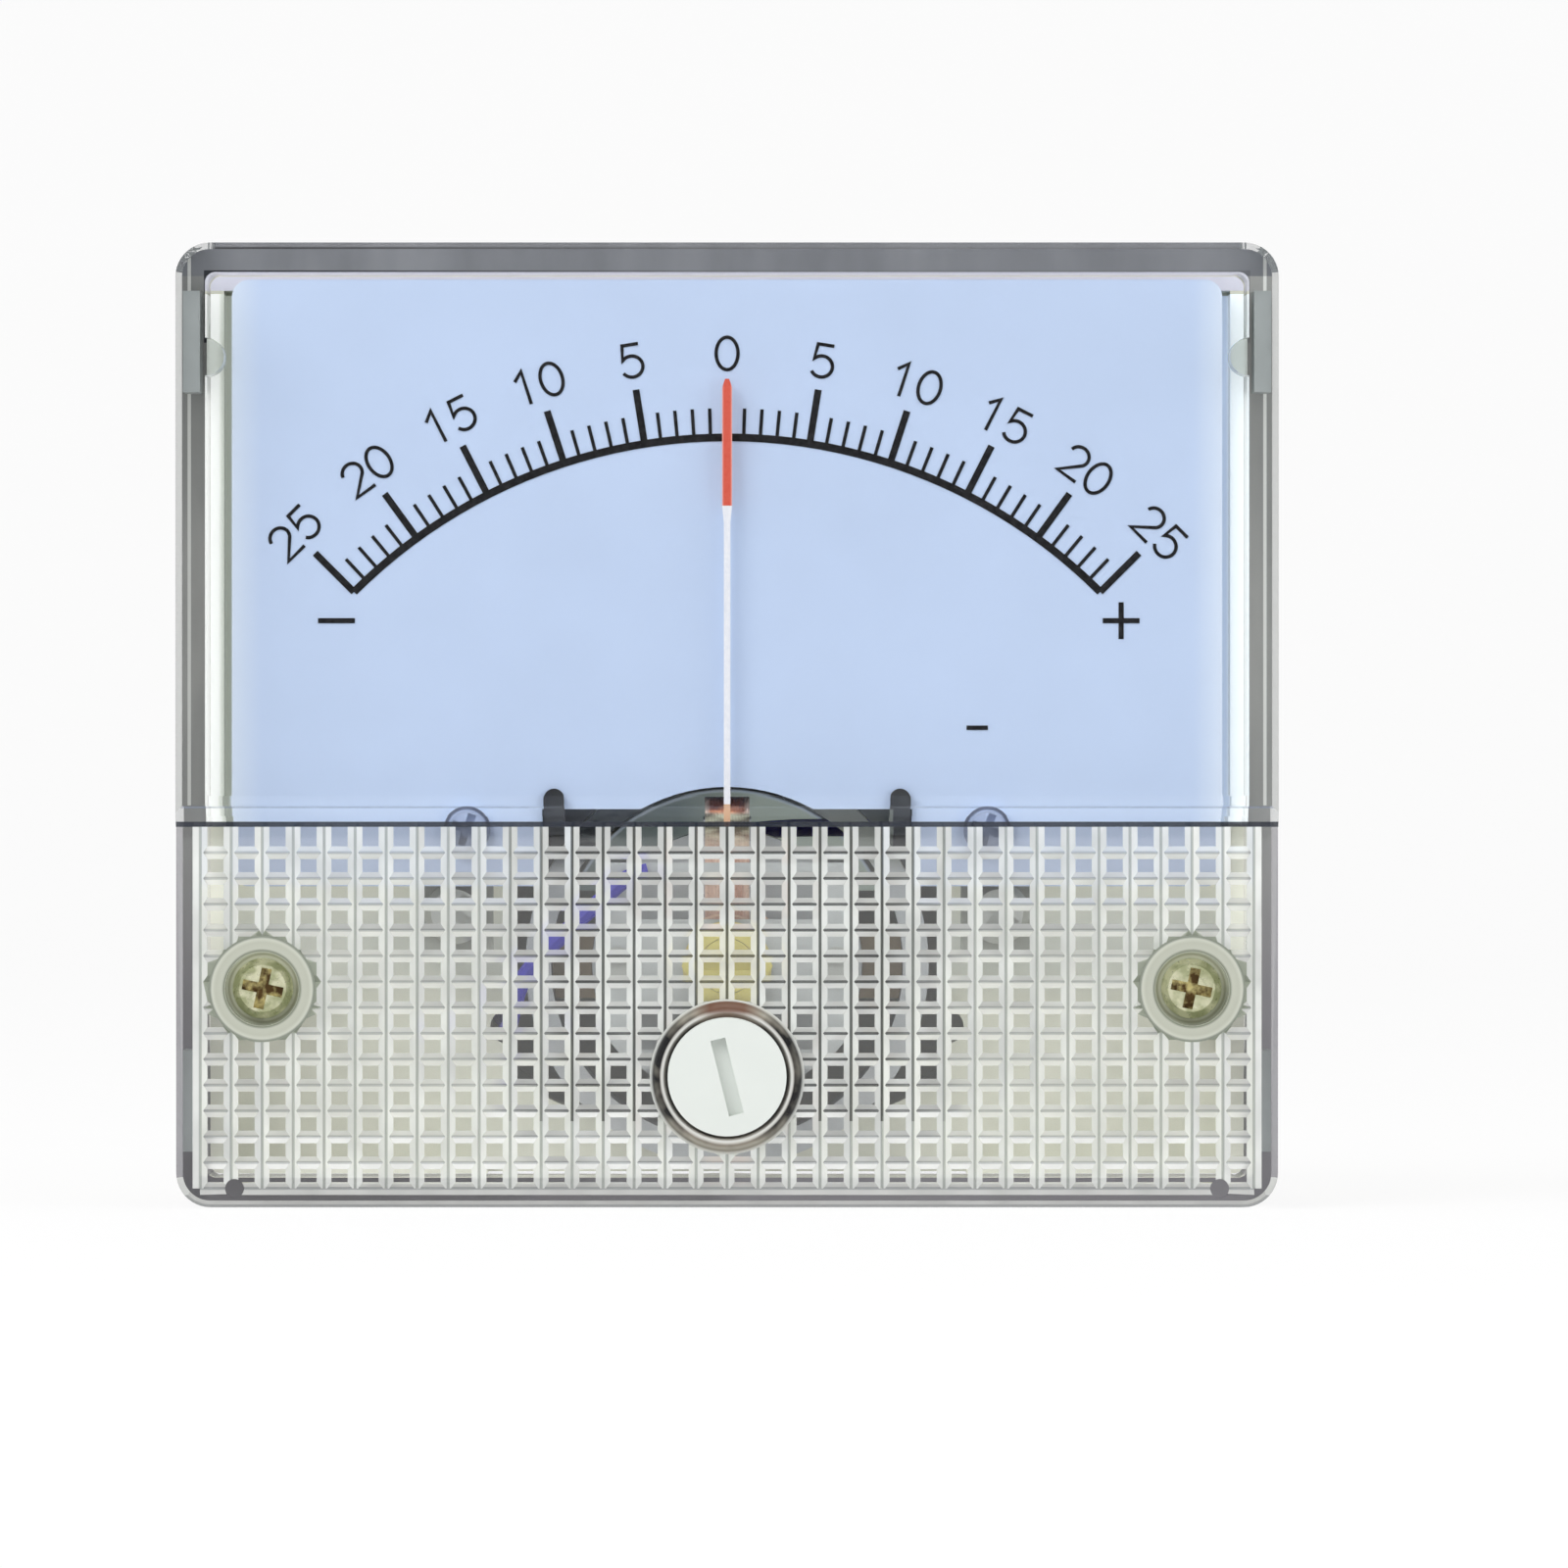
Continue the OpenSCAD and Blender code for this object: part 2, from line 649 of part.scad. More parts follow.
module movement_carrier() color([0.2, 0.21, 0.24]) {
  difference() {
    union() {
      slab(y_carrier, y_carrier_back) translate([0, pivot_z]) carrier_outline();
      both_sides() {
        rod(dial_screw_x, dial_screw_z, dial_boss_r, y_dial_back, y_carrier + graze);
        carrier_prong();
      }
    }
    rod(0, pivot_z, yoke_out_r + run, y_carrier - over, y_carrier_back + over);
    for (side = [-1, 1]) {
      rod(side * dial_screw_x, dial_screw_z, dial_screw_r + screw_gap,
        y_dial, y_dial + dial_screw_len + 0.2);
      rod(side * ear_screw_x, ear_screw_z, ear_screw_d / 2 + fit, y_carrier - over, y_carrier_back + over);
    }
  }
}

module carrier_screws() color([0.75, 0.74, 0.7]) {
  for (side = [-1, 1])
    cross_screw(side * ear_screw_x, ear_screw_z, ear_screw_head_r, ear_screw_head_h, ear_screw_d / 2,
      y_carrier, ear_screw_end_y, 35);
}

module yoke_ring() color([0.6, 0.61, 0.63]) {
  relief_y = -base_t - 0.2;
  difference() {
    union() {
      rod(0, pivot_z, yoke_out_r, y_yoke, relief_y);
      intersection() {
        rod(0, pivot_z, yoke_out_r, relief_y - graze, y_yoke_back);
        rod(0, 0, drum_in_r - 0.3, relief_y - graze, y_yoke_back);
      }
    }
    rod(0, pivot_z, yoke_in_r, y_yoke - over, y_yoke_back + over);
  }
}

module core_magnet() color([0.7, 0.71, 0.72]) {
  difference() {
    rod(0, pivot_z, core_r, y_core, y_core_back);
    for (side = [-1, 1])
      rod(side * tie_x, pivot_z, tie_r + fit, y_core - over, y_core_back + over);
  }
}

module core_spacers() color([0.8, 0.68, 0.35]) {
  both_sides() intersection() {
    difference() {
      rod(0, pivot_z, yoke_in_r - run, y_core + 1, y_core_back - 1);
      rod(0, pivot_z, core_r + run, y_core, y_core_back);
    }
    block(core_r - 1, yoke_in_r, y_core, y_core_back, pivot_z - leg_half_h, pivot_z + leg_half_h);
  }
}

// Outline of a bridge about the pivot, open above and below its middle
module bridge_outline() {
  side_w = 2.2;
  window_w = 2 * (bridge_half_w - side_w);
  window_h = 2.2;
  hub_half = 2.7;
  corner = 1.7;
  tall = 6;
  difference() {
    polygon([[-bridge_half_w, tall], [bridge_half_w, tall], [bridge_half_w, corner - tall + 0.3],
      [bridge_half_w - corner, -tall], [corner - bridge_half_w, -tall],
      [-bridge_half_w, corner - tall + 0.3]]);
    for (z = [hub_half, -hub_half - window_h]) translate([-window_w / 2, z]) square([window_w, window_h]);
    circle(jewel_screw_r + screw_gap);
    for (s = [-1, 1]) translate([s * tie_x, 0]) circle(tie_r + screw_gap);
  }
}

module bridge_legs(y0, y1) {
  difference() {
    both_sides()
      block(leg_in_x, bridge_half_w, y0, y1, pivot_z - leg_half_h, pivot_z + leg_half_h);
    for (side = [-1, 1]) rod(side * tie_x, pivot_z, tie_r + screw_gap, y0 - over, y1 + over);
  }
}

module front_bridge() color([0.72, 0.73, 0.72]) {
  slab(y_bridge, y_bridge_back) translate([0, pivot_z]) bridge_outline();
  bridge_legs(y_bridge_back, y_core);
}

module rear_bridge() color([0.72, 0.73, 0.72]) {
  slab(y_rear_bridge, y_rear_bridge_back) translate([0, pivot_z]) bridge_outline();
  bridge_legs(y_core_back, y_rear_bridge);
}

module bridge_screws() color([0.75, 0.74, 0.7]) {
  for (side = [-1, 1]) difference() {
    union() {
      rod(side * tie_x, pivot_z, tie_head_r, y_bridge - tie_head_h, y_bridge);
      rod(side * tie_x, pivot_z, tie_r, y_bridge, y_rear_bridge_back);
    }
    block(side * tie_x - 2, side * tie_x + 2, y_bridge - over, y_bridge - tie_head_h * 0.55,
      pivot_z - 0.15, pivot_z + 0.15);
  }
}

// A slotted screw along Y with a blind bore for its jewel; front is the slotted end
module jewel_screw(y0, y1) {
  inward = y1 > y0 ? 1 : -1;
  lo = min(y0, y1);
  slot_y = y0 + inward * 0.45;
  difference() {
    rod(0, pivot_z, jewel_screw_r, lo, max(y0, y1));
    block(-jewel_screw_r - over, jewel_screw_r + over, min(y0 - inward * over, slot_y),
      max(y0 - inward * over, slot_y), pivot_z - 0.25, pivot_z + 0.25);
    rod(0, pivot_z, 0.75, min(y1 - inward, y1 + inward * over), max(y1 - inward, y1 + inward * over));
  }
}

module front_jewel_screw() color([0.82, 0.68, 0.34]) {
  jewel_screw(y_jewel_front, y_front_jewel_mouth);
}

module rear_jewel_screw() color([0.82, 0.68, 0.34]) {
  jewel_screw(y_jewel_back, y_rear_jewel_mouth);
}

// Cup stones: a short cylinder with a conical seat for the pivot
module pivot_jewels() color([0.7, 0.12, 0.2]) {
  stone_r = 0.72;
  stone_t = 0.7;
  cup_r = 0.5;
  cup_depth = 0.45;
  difference() {
    rod(0, pivot_z, stone_r, y_front_jewel_mouth - 0.1 - stone_t, y_front_jewel_mouth - 0.1);
    spike(0, pivot_z, 0.1, cup_r, y_front_jewel_mouth - 0.1 - cup_depth, y_front_jewel_mouth - 0.1);
  }
  difference() {
    rod(0, pivot_z, stone_r, y_rear_jewel_mouth + 0.1, y_rear_jewel_mouth + 0.1 + stone_t);
    spike(0, pivot_z, cup_r, 0.1, y_rear_jewel_mouth + 0.1, y_rear_jewel_mouth + 0.1 + cup_depth);
  }
}

module locknut(y0) {
  slab(y0, y0 + locknut_t) translate([0, pivot_z]) difference() {
    hexagon(4.6);
    circle(jewel_screw_r + screw_gap);
  }
}

module jewel_locknuts() color([0.82, 0.68, 0.34]) {
  locknut(y_locknut);
  locknut(y_rear_anchor_back + run);
}

module regulator_washer() color([0.7, 0.7, 0.72]) {
  slab(y_washer, y_washer + washer_t) translate([0, pivot_z]) difference() {
    circle(ring_r - 0.1);
    circle(jewel_screw_r + run);
  }
}

module regulator_arm() color([0.85, 0.72, 0.4]) {
  slab(y_regulator, y_regulator_back) translate([0, pivot_z]) difference() {
    union() {
      circle(ring_r);
      translate([-1.6, -fork_out_r]) square([3.2, fork_out_r - ring_r + 0.6]);
      translate([-tab_w / 2, ring_r - 0.6]) square([tab_w, tab_r + tab_t / 2 - ring_r + 0.6]);
    }
    circle(jewel_screw_r + run);
    translate([-fork_slot_half, -fork_out_r - over])
      square([2 * fork_slot_half, fork_out_r - fork_in_r + over]);
  }
  block(-tab_w / 2, tab_w / 2, y_regulator_back, y_spring_back, pivot_z + tab_r - tab_t / 2,
    pivot_z + tab_r + tab_t / 2);
}

module rear_spring_anchor() color([0.85, 0.72, 0.4]) {
  tail_top = 7.8;
  y0 = y_rear_bridge_back + run;
  slab(y0, y0 + regulator_t) translate([0, pivot_z]) difference() {
    union() {
      circle(ring_r);
      translate([-tab_w / 2, ring_r - 0.6]) square([tab_w, tail_top - ring_r + 0.6]);
    }
    circle(jewel_screw_r + run);
  }
  block(-tab_w / 2, tab_w / 2, y_rear_spring, y0, pivot_z + tab_r - tab_t / 2, pivot_z + tab_r + tab_t / 2);
}

// ---- moving parts of the movement ----

module pointer() color([0.86, 0.4, 0.32]) {
  root_r = 1.3;
  flare_r = 25.8;
  red_r = 26.8;
  tip_len = 0.5;
  half = [[pointer_w / 2, root_r], [pointer_w / 2, flare_r], [pointer_tip_w / 2, red_r],
    [pointer_tip_w / 2, pointer_r - tip_len], [pointer_tip_w / 5, pointer_r]];
  slab(y_pointer, y_pointer_back) translate([0, pivot_z])
    polygon(concat(half, [for (i = [len(half) - 1:-1:0]) [-half[i][0], half[i][1]]]));
}

module balance_cross() color([0.8, 0.8, 0.8]) {
  arm_w = 0.6;
  slab(y_pointer_back, y_pointer_back + cross_t) translate([0, pivot_z]) difference() {
    union() {
      circle(1.15);
      square([2 * arm_r, arm_w], center = true);
      square([arm_w, 2 * arm_r], center = true);
    }
    circle(staff_r + screw_gap);
  }
}

module balance_weights() color([0.82, 0.68, 0.34]) {
  y = y_pointer_back + cross_t / 2;
  for (deg = [90, 180, 270]) translate([0, y, pivot_z]) rotate([0, deg, 0])
    translate([0, 0, arm_r]) cylinder(h = weight_len, r = weight_r);
}

module coil_loop(out_r, y0, y1, t, w) {
  translate([0, 0, pivot_z]) across(w) difference() {
    translate([(y0 + y1) / 2, 0]) rounded_rect(y1 - y0, 2 * out_r, t);
    translate([y0 + t, t - out_r]) square([y1 - y0 - 2 * t, 2 * (out_r - t)]);
  }
}

module coil_former() color([0.8, 0.81, 0.83]) {
  coil_loop(coil_r - winding_t, y_coil + winding_t, y_coil_back - winding_t, former_t, former_w);
}

module coil_winding() color([0.78, 0.42, 0.26]) {
  coil_loop(coil_r, y_coil, y_coil_back, winding_t, coil_w);
}

module front_staff() color([0.66, 0.67, 0.7]) {
  shaft_end = y_spring - 0.1;
  rod(0, pivot_z, staff_base_r, y_coil - staff_base_t, y_coil);
  rod(0, pivot_z, staff_r, shaft_end, y_coil - staff_base_t);
  spike(0, pivot_z, 0.05, staff_r, y_front_jewel_mouth - 0.45, shaft_end);
}

module rear_staff() color([0.66, 0.67, 0.7]) {
  shaft_end = y_rear_spring_back + 0.1;
  rod(0, pivot_z, staff_base_r, y_coil_back, y_coil_back + staff_base_t);
  rod(0, pivot_z, staff_r, y_coil_back + staff_base_t, shaft_end);
  spike(0, pivot_z, staff_r, 0.05, shaft_end, y_rear_jewel_mouth + 0.45);
}

module collet(y0) {
  slab(y0, y0 + spring_w) translate([0, pivot_z]) difference() {
    circle(collet_r);
    circle(staff_r + screw_gap);
  }
}

module spring_collets() color([0.82, 0.68, 0.34]) {
  collet(y_spring);
  collet(y_rear_spring);
}

// A flat spiral from the collet out to the tab, above the pivot
module hairspring(y0) {
  steps = 28 * spring_turns;
  mid = [for (i = [0:steps]) spring_in_r + spring_t / 2 + (spring_out_r - spring_in_r) * i / steps];
  ang = [for (i = [0:steps]) 90 - 360 * spring_turns * (1 - i / steps)];
  edge_out = [for (i = [0:steps]) (mid[i] + spring_t / 2) * [cos(ang[i]), sin(ang[i])]];
  edge_in = [for (i = [steps:-1:0]) (mid[i] - spring_t / 2) * [cos(ang[i]), sin(ang[i])]];
  slab(y0, y0 + spring_w) translate([0, pivot_z]) polygon(concat(edge_out, edge_in));
}

module front_hairspring() color([0.8, 0.62, 0.35]) hairspring(y_spring);

module rear_hairspring() color([0.8, 0.62, 0.35]) hairspring(y_rear_spring);

module front_lead() color([0.3, 0.27, 0.68]) tube(front_lead_points, lead_r);

module rear_lead() color([0.3, 0.27, 0.68]) tube(rear_lead_points, lead_r);

// ---- base and its fittings ----

// The drum is a turned shape about the Y axis: wall, end and the chamfer at its edge
module drum_shell() {
  rotate([-90, 0, 0]) rotate_extrude(angle = 360)
    polygon([[drum_in_r, -base_t], [drum_r, -base_t], [drum_r, drum_depth - drum_end_c],
      [drum_r - drum_end_c, drum_depth], [0, drum_depth], [0, y_drum_in], [drum_in_r, y_drum_in]]);
}

module rear_base() color([0.87, 0.86, 0.79]) {
  difference() {
    union() {
      difference() {
        slab(-base_t, 0) rounded_rect(base_w, base_h, inner_corner_r);
        rod(0, 0, drum_r - drum_wall / 2, -base_t - over, over);
      }
      drum_shell();
      // shelves across the lower part of the drum's mouth that carry the movement
      intersection() {
        both_sides() {
          difference() {
            block(shelf_in_x, drum_r, -base_t, 0, -drum_r, shelf_top_z);
            rod(lead_notch_x, lead_notch_z, lead_notch_r, -base_t - over, over);
          }
          rod(ear_screw_x, ear_screw_z, post_r, y_carrier_back, 0);
        }
        rod(0, 0, drum_r - drum_wall / 2, y_carrier_back, 0);
      }
      // rim that stands up inside the cover's sides and top
      slab(rim_front_y, -base_t) difference() {
        rounded_rect(base_w, base_h, inner_corner_r);
        square([base_w - 2 * rim_t, base_h - 2 * rim_t], center = true);
        translate([-rim_gap_half, foot_z]) square([2 * rim_gap_half, 2 * rim_t + side_wall]);
      }
      for (side = [-1, 1]) rod(side * terminal_x, 0, pad_r, drum_depth - drum_end_c, y_pad);
    }
    for (side = [-1, 1]) {
      rod(side * stud_x, screw_z, stud_shoulder_r + screw_gap, -base_t - over, over);
      rod(side * ear_screw_x, ear_screw_z, ear_screw_d / 2 + screw_gap, y_carrier_back - over, over);
      rod(side * terminal_x, 0, terminal_r + fit, y_drum_in - over, y_pad + over);
    }
  }
}

module mounting_studs() color([0.78, 0.77, 0.72]) {
  for (side = [-1, 1]) difference() {
    union() {
      rod(side * stud_x, screw_z, stud_front_r, y_stud_front, -base_t - stud_flange_t);
      rod(side * stud_x, screw_z, stud_flange_r, -base_t - stud_flange_t, -base_t);
      rod(side * stud_x, screw_z, stud_shoulder_r, -base_t, 0);
      rod(side * stud_x, screw_z, stud_d / 2, 0, stud_len);
    }
    rod(side * stud_x, screw_z, cover_thread_r + screw_gap, y_stud_front - over, cover_screw_end_y + 0.3);
  }
}

module terminal_studs() color([0.82, 0.7, 0.4]) {
  for (side = [-1, 1]) {
    y_head = y_drum_in - lug_t;
    slab(y_head - terminal_head_h, y_head) translate([side * terminal_x, 0]) hexagon(hex_flats);
    rod(side * terminal_x, 0, terminal_r, y_head, y_terminal_end);
  }
}

module solder_lugs() color([0.82, 0.8, 0.72]) {
  for (side = [-1, 1]) slab(y_drum_in - lug_t, y_drum_in) translate([side * terminal_x, 0]) difference() {
    union() {
      circle(lug_r);
      translate([-lug_tail_w / 2, -lug_tail_len]) square([lug_tail_w, lug_tail_len]);
    }
    circle(terminal_r + fit);
  }
}

module terminal_nuts(y0, y1) {
  for (side = [-1, 1]) slab(y0, y1) translate([side * terminal_x, 0]) difference() {
    hexagon(hex_flats);
    circle(terminal_r + screw_gap);
  }
}

module terminal_clamp_nuts() color([0.82, 0.7, 0.4]) terminal_nuts(y_pad, y_clamp_nut_back);

module terminal_washers() color([0.82, 0.8, 0.72]) {
  for (side = [-1, 1]) slab(y_clamp_nut_back, y_washer_back) translate([side * terminal_x, 0]) difference() {
    circle(terminal_washer_r);
    circle(terminal_r + fit);
  }
}

module terminal_outer_nuts() color([0.82, 0.7, 0.4]) terminal_nuts(y_washer_back, y_outer_nut_back);

front_cover();
rear_base();
cover_screws();
zero_adjuster();
dial_plate();
scale_marks();
dial_screws();
movement_carrier();
carrier_screws();
yoke_ring();
core_magnet();
core_spacers();
front_bridge();
rear_bridge();
bridge_screws();
front_jewel_screw();
rear_jewel_screw();
pivot_jewels();
jewel_locknuts();
regulator_washer();
regulator_arm();
pointer();
balance_cross();
balance_weights();
coil_former();
coil_winding();
front_staff();
rear_staff();
spring_collets();
front_hairspring();
rear_hairspring();
rear_spring_anchor();
front_lead();
rear_lead();
mounting_studs();
terminal_studs();
solder_lugs();
terminal_clamp_nuts();
terminal_washers();
terminal_outer_nuts();
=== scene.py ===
import json
import bpy
from math import cos, pi, radians, sin
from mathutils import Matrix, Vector


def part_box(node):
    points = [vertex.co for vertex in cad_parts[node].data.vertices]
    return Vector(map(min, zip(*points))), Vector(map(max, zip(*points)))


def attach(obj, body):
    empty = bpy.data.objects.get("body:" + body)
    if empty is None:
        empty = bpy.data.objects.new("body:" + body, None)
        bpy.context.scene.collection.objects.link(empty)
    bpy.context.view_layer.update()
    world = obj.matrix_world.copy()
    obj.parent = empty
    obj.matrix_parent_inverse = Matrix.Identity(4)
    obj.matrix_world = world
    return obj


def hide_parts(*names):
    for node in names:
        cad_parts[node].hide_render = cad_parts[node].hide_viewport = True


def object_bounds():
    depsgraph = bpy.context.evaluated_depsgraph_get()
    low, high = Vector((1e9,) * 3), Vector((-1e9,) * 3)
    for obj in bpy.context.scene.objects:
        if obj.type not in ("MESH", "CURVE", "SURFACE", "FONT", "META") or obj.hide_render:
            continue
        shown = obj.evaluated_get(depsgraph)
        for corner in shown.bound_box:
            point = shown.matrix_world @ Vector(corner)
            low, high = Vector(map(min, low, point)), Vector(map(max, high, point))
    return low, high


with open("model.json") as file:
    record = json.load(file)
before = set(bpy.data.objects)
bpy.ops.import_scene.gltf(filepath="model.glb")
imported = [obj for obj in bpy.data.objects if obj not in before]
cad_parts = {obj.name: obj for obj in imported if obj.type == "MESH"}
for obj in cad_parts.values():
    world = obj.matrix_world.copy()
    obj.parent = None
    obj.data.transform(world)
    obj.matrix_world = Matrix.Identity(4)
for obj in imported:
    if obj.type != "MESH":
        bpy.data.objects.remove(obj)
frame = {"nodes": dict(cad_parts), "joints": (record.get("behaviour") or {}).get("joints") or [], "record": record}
nodes = frame["nodes"]
cad_low, cad_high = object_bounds()
scene = bpy.context.scene

MM = 0.001


# ---- places read from the frame; X runs to the right, Y to the back and Z up ----

def low(node):
    """The corner of a node's box with the lowest X, Y and Z."""
    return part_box(node)[0]


joint_at = {j["name"]: Vector(j["pos_m"]) for j in frame["joints"]}
PIVOT = joint_at["pointer_swing"]
ADJUSTER = joint_at["zero_adjuster_turn"]
COVER_HEAD_Y = low("cover_screws").y
WINDOW_Y = low("front_cover").y
DIAL_Y = low("dial_plate").y

# ---- places inside one CAD node, as part.scad has them ----

FIELD_Y = WINDOW_Y + 1.3 * MM       # front of the grooved field, set back from the window
WINDOW_IN_Y = WINDOW_Y + 1.5 * MM   # back of the window
FIELD_IN_Y = FIELD_Y + 1.6 * MM     # back of the grooved field
GROOVE_DEEP = 0.5 * MM              # upright grooves of the field
GROOVE_SHALLOW = 0.3 * MM           # level ones
WINDOW_FOOT = -4.7 * MM             # the sloping band runs from here
FIELD_TOP = -5.9 * MM               # down to here
BAND_IN_RISE = 0.6 * MM             # the band's back lies this much higher
WALL_IN = 30.3 * MM                 # inner faces of the cover's side and top walls
WALL_TOP_IN = 26.3 * MM
WALL_OUT = 32 * MM
SCREW_X, SCREW_Z = 27 * MM, -15.3 * MM
DIAL_SIDE = 28.9 * MM
DIAL_SCREW_X, DIAL_SCREW_Z = 15.2 * MM, -6.1 * MM
DIAL_SCREW_R = 1.4                  # of its head, in mm
TERMINAL_X = 13 * MM
INK = 0.04 * MM                     # how far the print stands off the dial


# ---- materials ----

def add_node(tree, kind, **values):
    made = tree.nodes.new(kind)
    for key, value in values.items():
        setattr(made, key, value)
    return made


class Shader:
    """A node material with a few shorthands."""

    def __init__(self, name):
        self.mat = bpy.data.materials.new(name)
        self.mat.use_nodes = True
        # the glows are there to be seen; none is sampled as a lamp
        self.mat.cycles.emission_sampling = "NONE"
        self.tree = self.mat.node_tree
        self.tree.nodes.clear()
        self.out = self.node("ShaderNodeOutputMaterial")
        self.place = self.node("ShaderNodeTexCoord").outputs["Object"]

    def node(self, kind, **values):
        return add_node(self.tree, kind, **values)

    def link(self, a, b):
        self.tree.links.new(a, b)

    def noise(self, scale, detail=3.0, stretch=(1, 1, 1)):
        mapping = self.node("ShaderNodeMapping")
        mapping.inputs["Scale"].default_value = stretch
        self.link(self.place, mapping.inputs["Vector"])
        made = self.node("ShaderNodeTexNoise")
        made.inputs["Scale"].default_value = scale
        made.inputs["Detail"].default_value = detail
        self.link(mapping.outputs[0], made.inputs["Vector"])
        return made.outputs["Fac"]

    def span(self, value, low_value, high_value, start=0.3, end=0.7):
        """Goes from low_value to high_value while value goes from start to end."""
        made = self.node("ShaderNodeMapRange")
        made.inputs["From Min"].default_value = start
        made.inputs["From Max"].default_value = end
        made.inputs["To Min"].default_value = low_value
        made.inputs["To Max"].default_value = high_value
        self.link(value, made.inputs["Value"])
        return made.outputs["Result"]

    def math(self, kind, a, b=None, c=None):
        made = self.node("ShaderNodeMath", operation=kind)
        for i, value in enumerate((a, b, c)):
            if value is None:
                continue
            if isinstance(value, (int, float)):
                made.inputs[i].default_value = value
            else:
                self.link(value, made.inputs[i])
        return made.outputs[0]

    def mix(self, factor, a, b):
        """Colour a where factor is 0 and b where it is 1."""
        made = self.node("ShaderNodeMix", data_type="RGBA")
        for socket, value in ((made.inputs[0], factor), (made.inputs[6], a), (made.inputs[7], b)):
            if isinstance(value, tuple):
                socket.default_value = (*value, 1)
            elif isinstance(value, (int, float)):
                socket.default_value = value
            else:
                self.link(value, socket)
        return made.outputs[2]

    def bump(self, height, strength, distance):
        made = self.node("ShaderNodeBump")
        made.inputs["Strength"].default_value = strength
        made.inputs["Distance"].default_value = distance
        self.link(height, made.inputs["Height"])
        return made.outputs["Normal"]

    def axes(self):
        """The place's X, Y and Z in metres."""
        made = self.node("ShaderNodeSeparateXYZ")
        self.link(self.place, made.inputs[0])
        return made.outputs

    def above(self, value, limit):
        return self.math("GREATER_THAN", value, limit)

    def below(self, value, limit):
        return self.math("LESS_THAN", value, limit)

    def both(self, *masks):
        """1 where all the masks are 1."""
        joined = masks[0]
        for mask in masks[1:]:
            joined = self.math("MULTIPLY", joined, mask)
        return joined

    def radius(self, x0, z0, mirrored=False):
        """Distance from an axis along Y, or from it and its mirror image."""
        x, _, z = self.axes()
        dx = self.math("SUBTRACT", self.math("ABSOLUTE", x) if mirrored else x, x0)
        dz = self.math("SUBTRACT", z, z0)
        squares = self.math("MULTIPLY", dx, dx), self.math("MULTIPLY", dz, dz)
        return self.math("SQRT", self.math("ADD", *squares))

    def bands(self, value, unit, stops):
        """Colour in bands along a value; stops are (place in units, colour)."""
        ramp = self.node("ShaderNodeValToRGB")
        ramp.color_ramp.interpolation = "LINEAR"
        marks = ramp.color_ramp.elements
        first, last = stops[0][0], stops[-1][0]
        for i, (place, colour) in enumerate(stops):
            at = (place - first) / (last - first)
            mark = marks[i] if i < 2 else marks.new(at)
            mark.position = at
            mark.color = (*colour, 1)
        self.link(self.span(value, 0, 1, first * unit, last * unit), ramp.inputs[0])
        return ramp.outputs[0]

    def principled(self, **values):
        """Surface with these inputs, each a number, a colour or another node's output."""
        made = self.node("ShaderNodeBsdfPrincipled")
        for key, value in values.items():
            socket = made.inputs[key.replace("_", " ")]
            if hasattr(value, "is_linked"):
                self.link(value, socket)
            elif isinstance(value, tuple):
                socket.default_value = (*value, 1)
            else:
                socket.default_value = value
        self.link(made.outputs[0], self.out.inputs["Surface"])
        return made


def srgb(r, g, b):
    """Colour from screen values of 0 to 255."""
    parts = (c / 255 for c in (r, g, b))
    return tuple(c / 12.92 if c <= 0.04 else ((c + 0.055) / 1.055) ** 2.4 for c in parts)


def shade(colour, factor):
    return tuple(min(1.0, c * factor) for c in colour)


def solid(name, colour, rough=0.4, metallic=0.0, grain=4000, vary=0.06, bump=0.15, stretch=(1, 1, 1)):
    """Plastic, paint or metal with a fine grain in its colour, gloss and surface."""
    s = Shader(name)
    grain_value = s.noise(grain, stretch=stretch)
    broad = s.noise(260)
    tint = s.mix(s.span(broad, 0, 1), shade(colour, 1 - vary), shade(colour, 1 + vary))
    s.principled(
        Base_Color=tint, Metallic=metallic,
        Roughness=s.span(grain_value, max(0.02, rough * 0.8), min(1.0, rough * 1.2)),
        Normal=s.bump(grain_value, bump, 0.02 * MM))
    return s.mat


def lit_glass(s, glass):
    """Lets the lamps' light through the clear plastic to what lies behind it."""
    path = s.node("ShaderNodeLightPath")
    open_way = s.node("ShaderNodeBsdfTransparent")
    blend = s.node("ShaderNodeMixShader")
    s.link(path.outputs["Is Shadow Ray"], blend.inputs[0])
    s.link(glass.outputs[0], blend.inputs[1])
    s.link(open_way.outputs[0], blend.inputs[2])
    s.link(blend.outputs[0], s.out.inputs["Surface"])


def clear(name, colour, rough):
    """The cover's polished clear plastic."""
    s = Shader(name)
    waves = s.noise(350, 1)
    glass = s.principled(
        Base_Color=s.mix(s.span(waves, 0, 1), shade(colour, 0.992), colour), Roughness=rough,
        IOR=1.57, Transmission_Weight=1.0)
    lit_glass(s, glass)
    return s.mat


def dial_paint():
    """Pale blue; painted light makes it paler along its sides and painted shade makes it greyer behind the grooved
    field.
    """
    s = Shader("dial_paint")
    fine = s.noise(9000)
    x, _, z = s.axes()
    sky = srgb(201, 219, 247)
    tint = s.mix(s.span(s.noise(120), 0, 1), shade(sky, 0.97), shade(sky, 1.01))
    # painted light: the dial turns paler towards its sides
    painted_light_near_edge = s.span(s.math("ABSOLUTE", x), 0, 1, DIAL_SIDE - 1.7 * MM, DIAL_SIDE)
    tint = s.mix(painted_light_near_edge, tint, srgb(222, 235, 252))
    # painted shade: the dial is greyer where it lies behind the grooved field
    tint = s.mix(s.below(z, FIELD_TOP), tint, srgb(172, 184, 206))
    s.principled(Base_Color=tint, Roughness=s.span(fine, 0.42, 0.6),
                 Normal=s.bump(fine, 0.08, 0.01 * MM))
    return s.mat


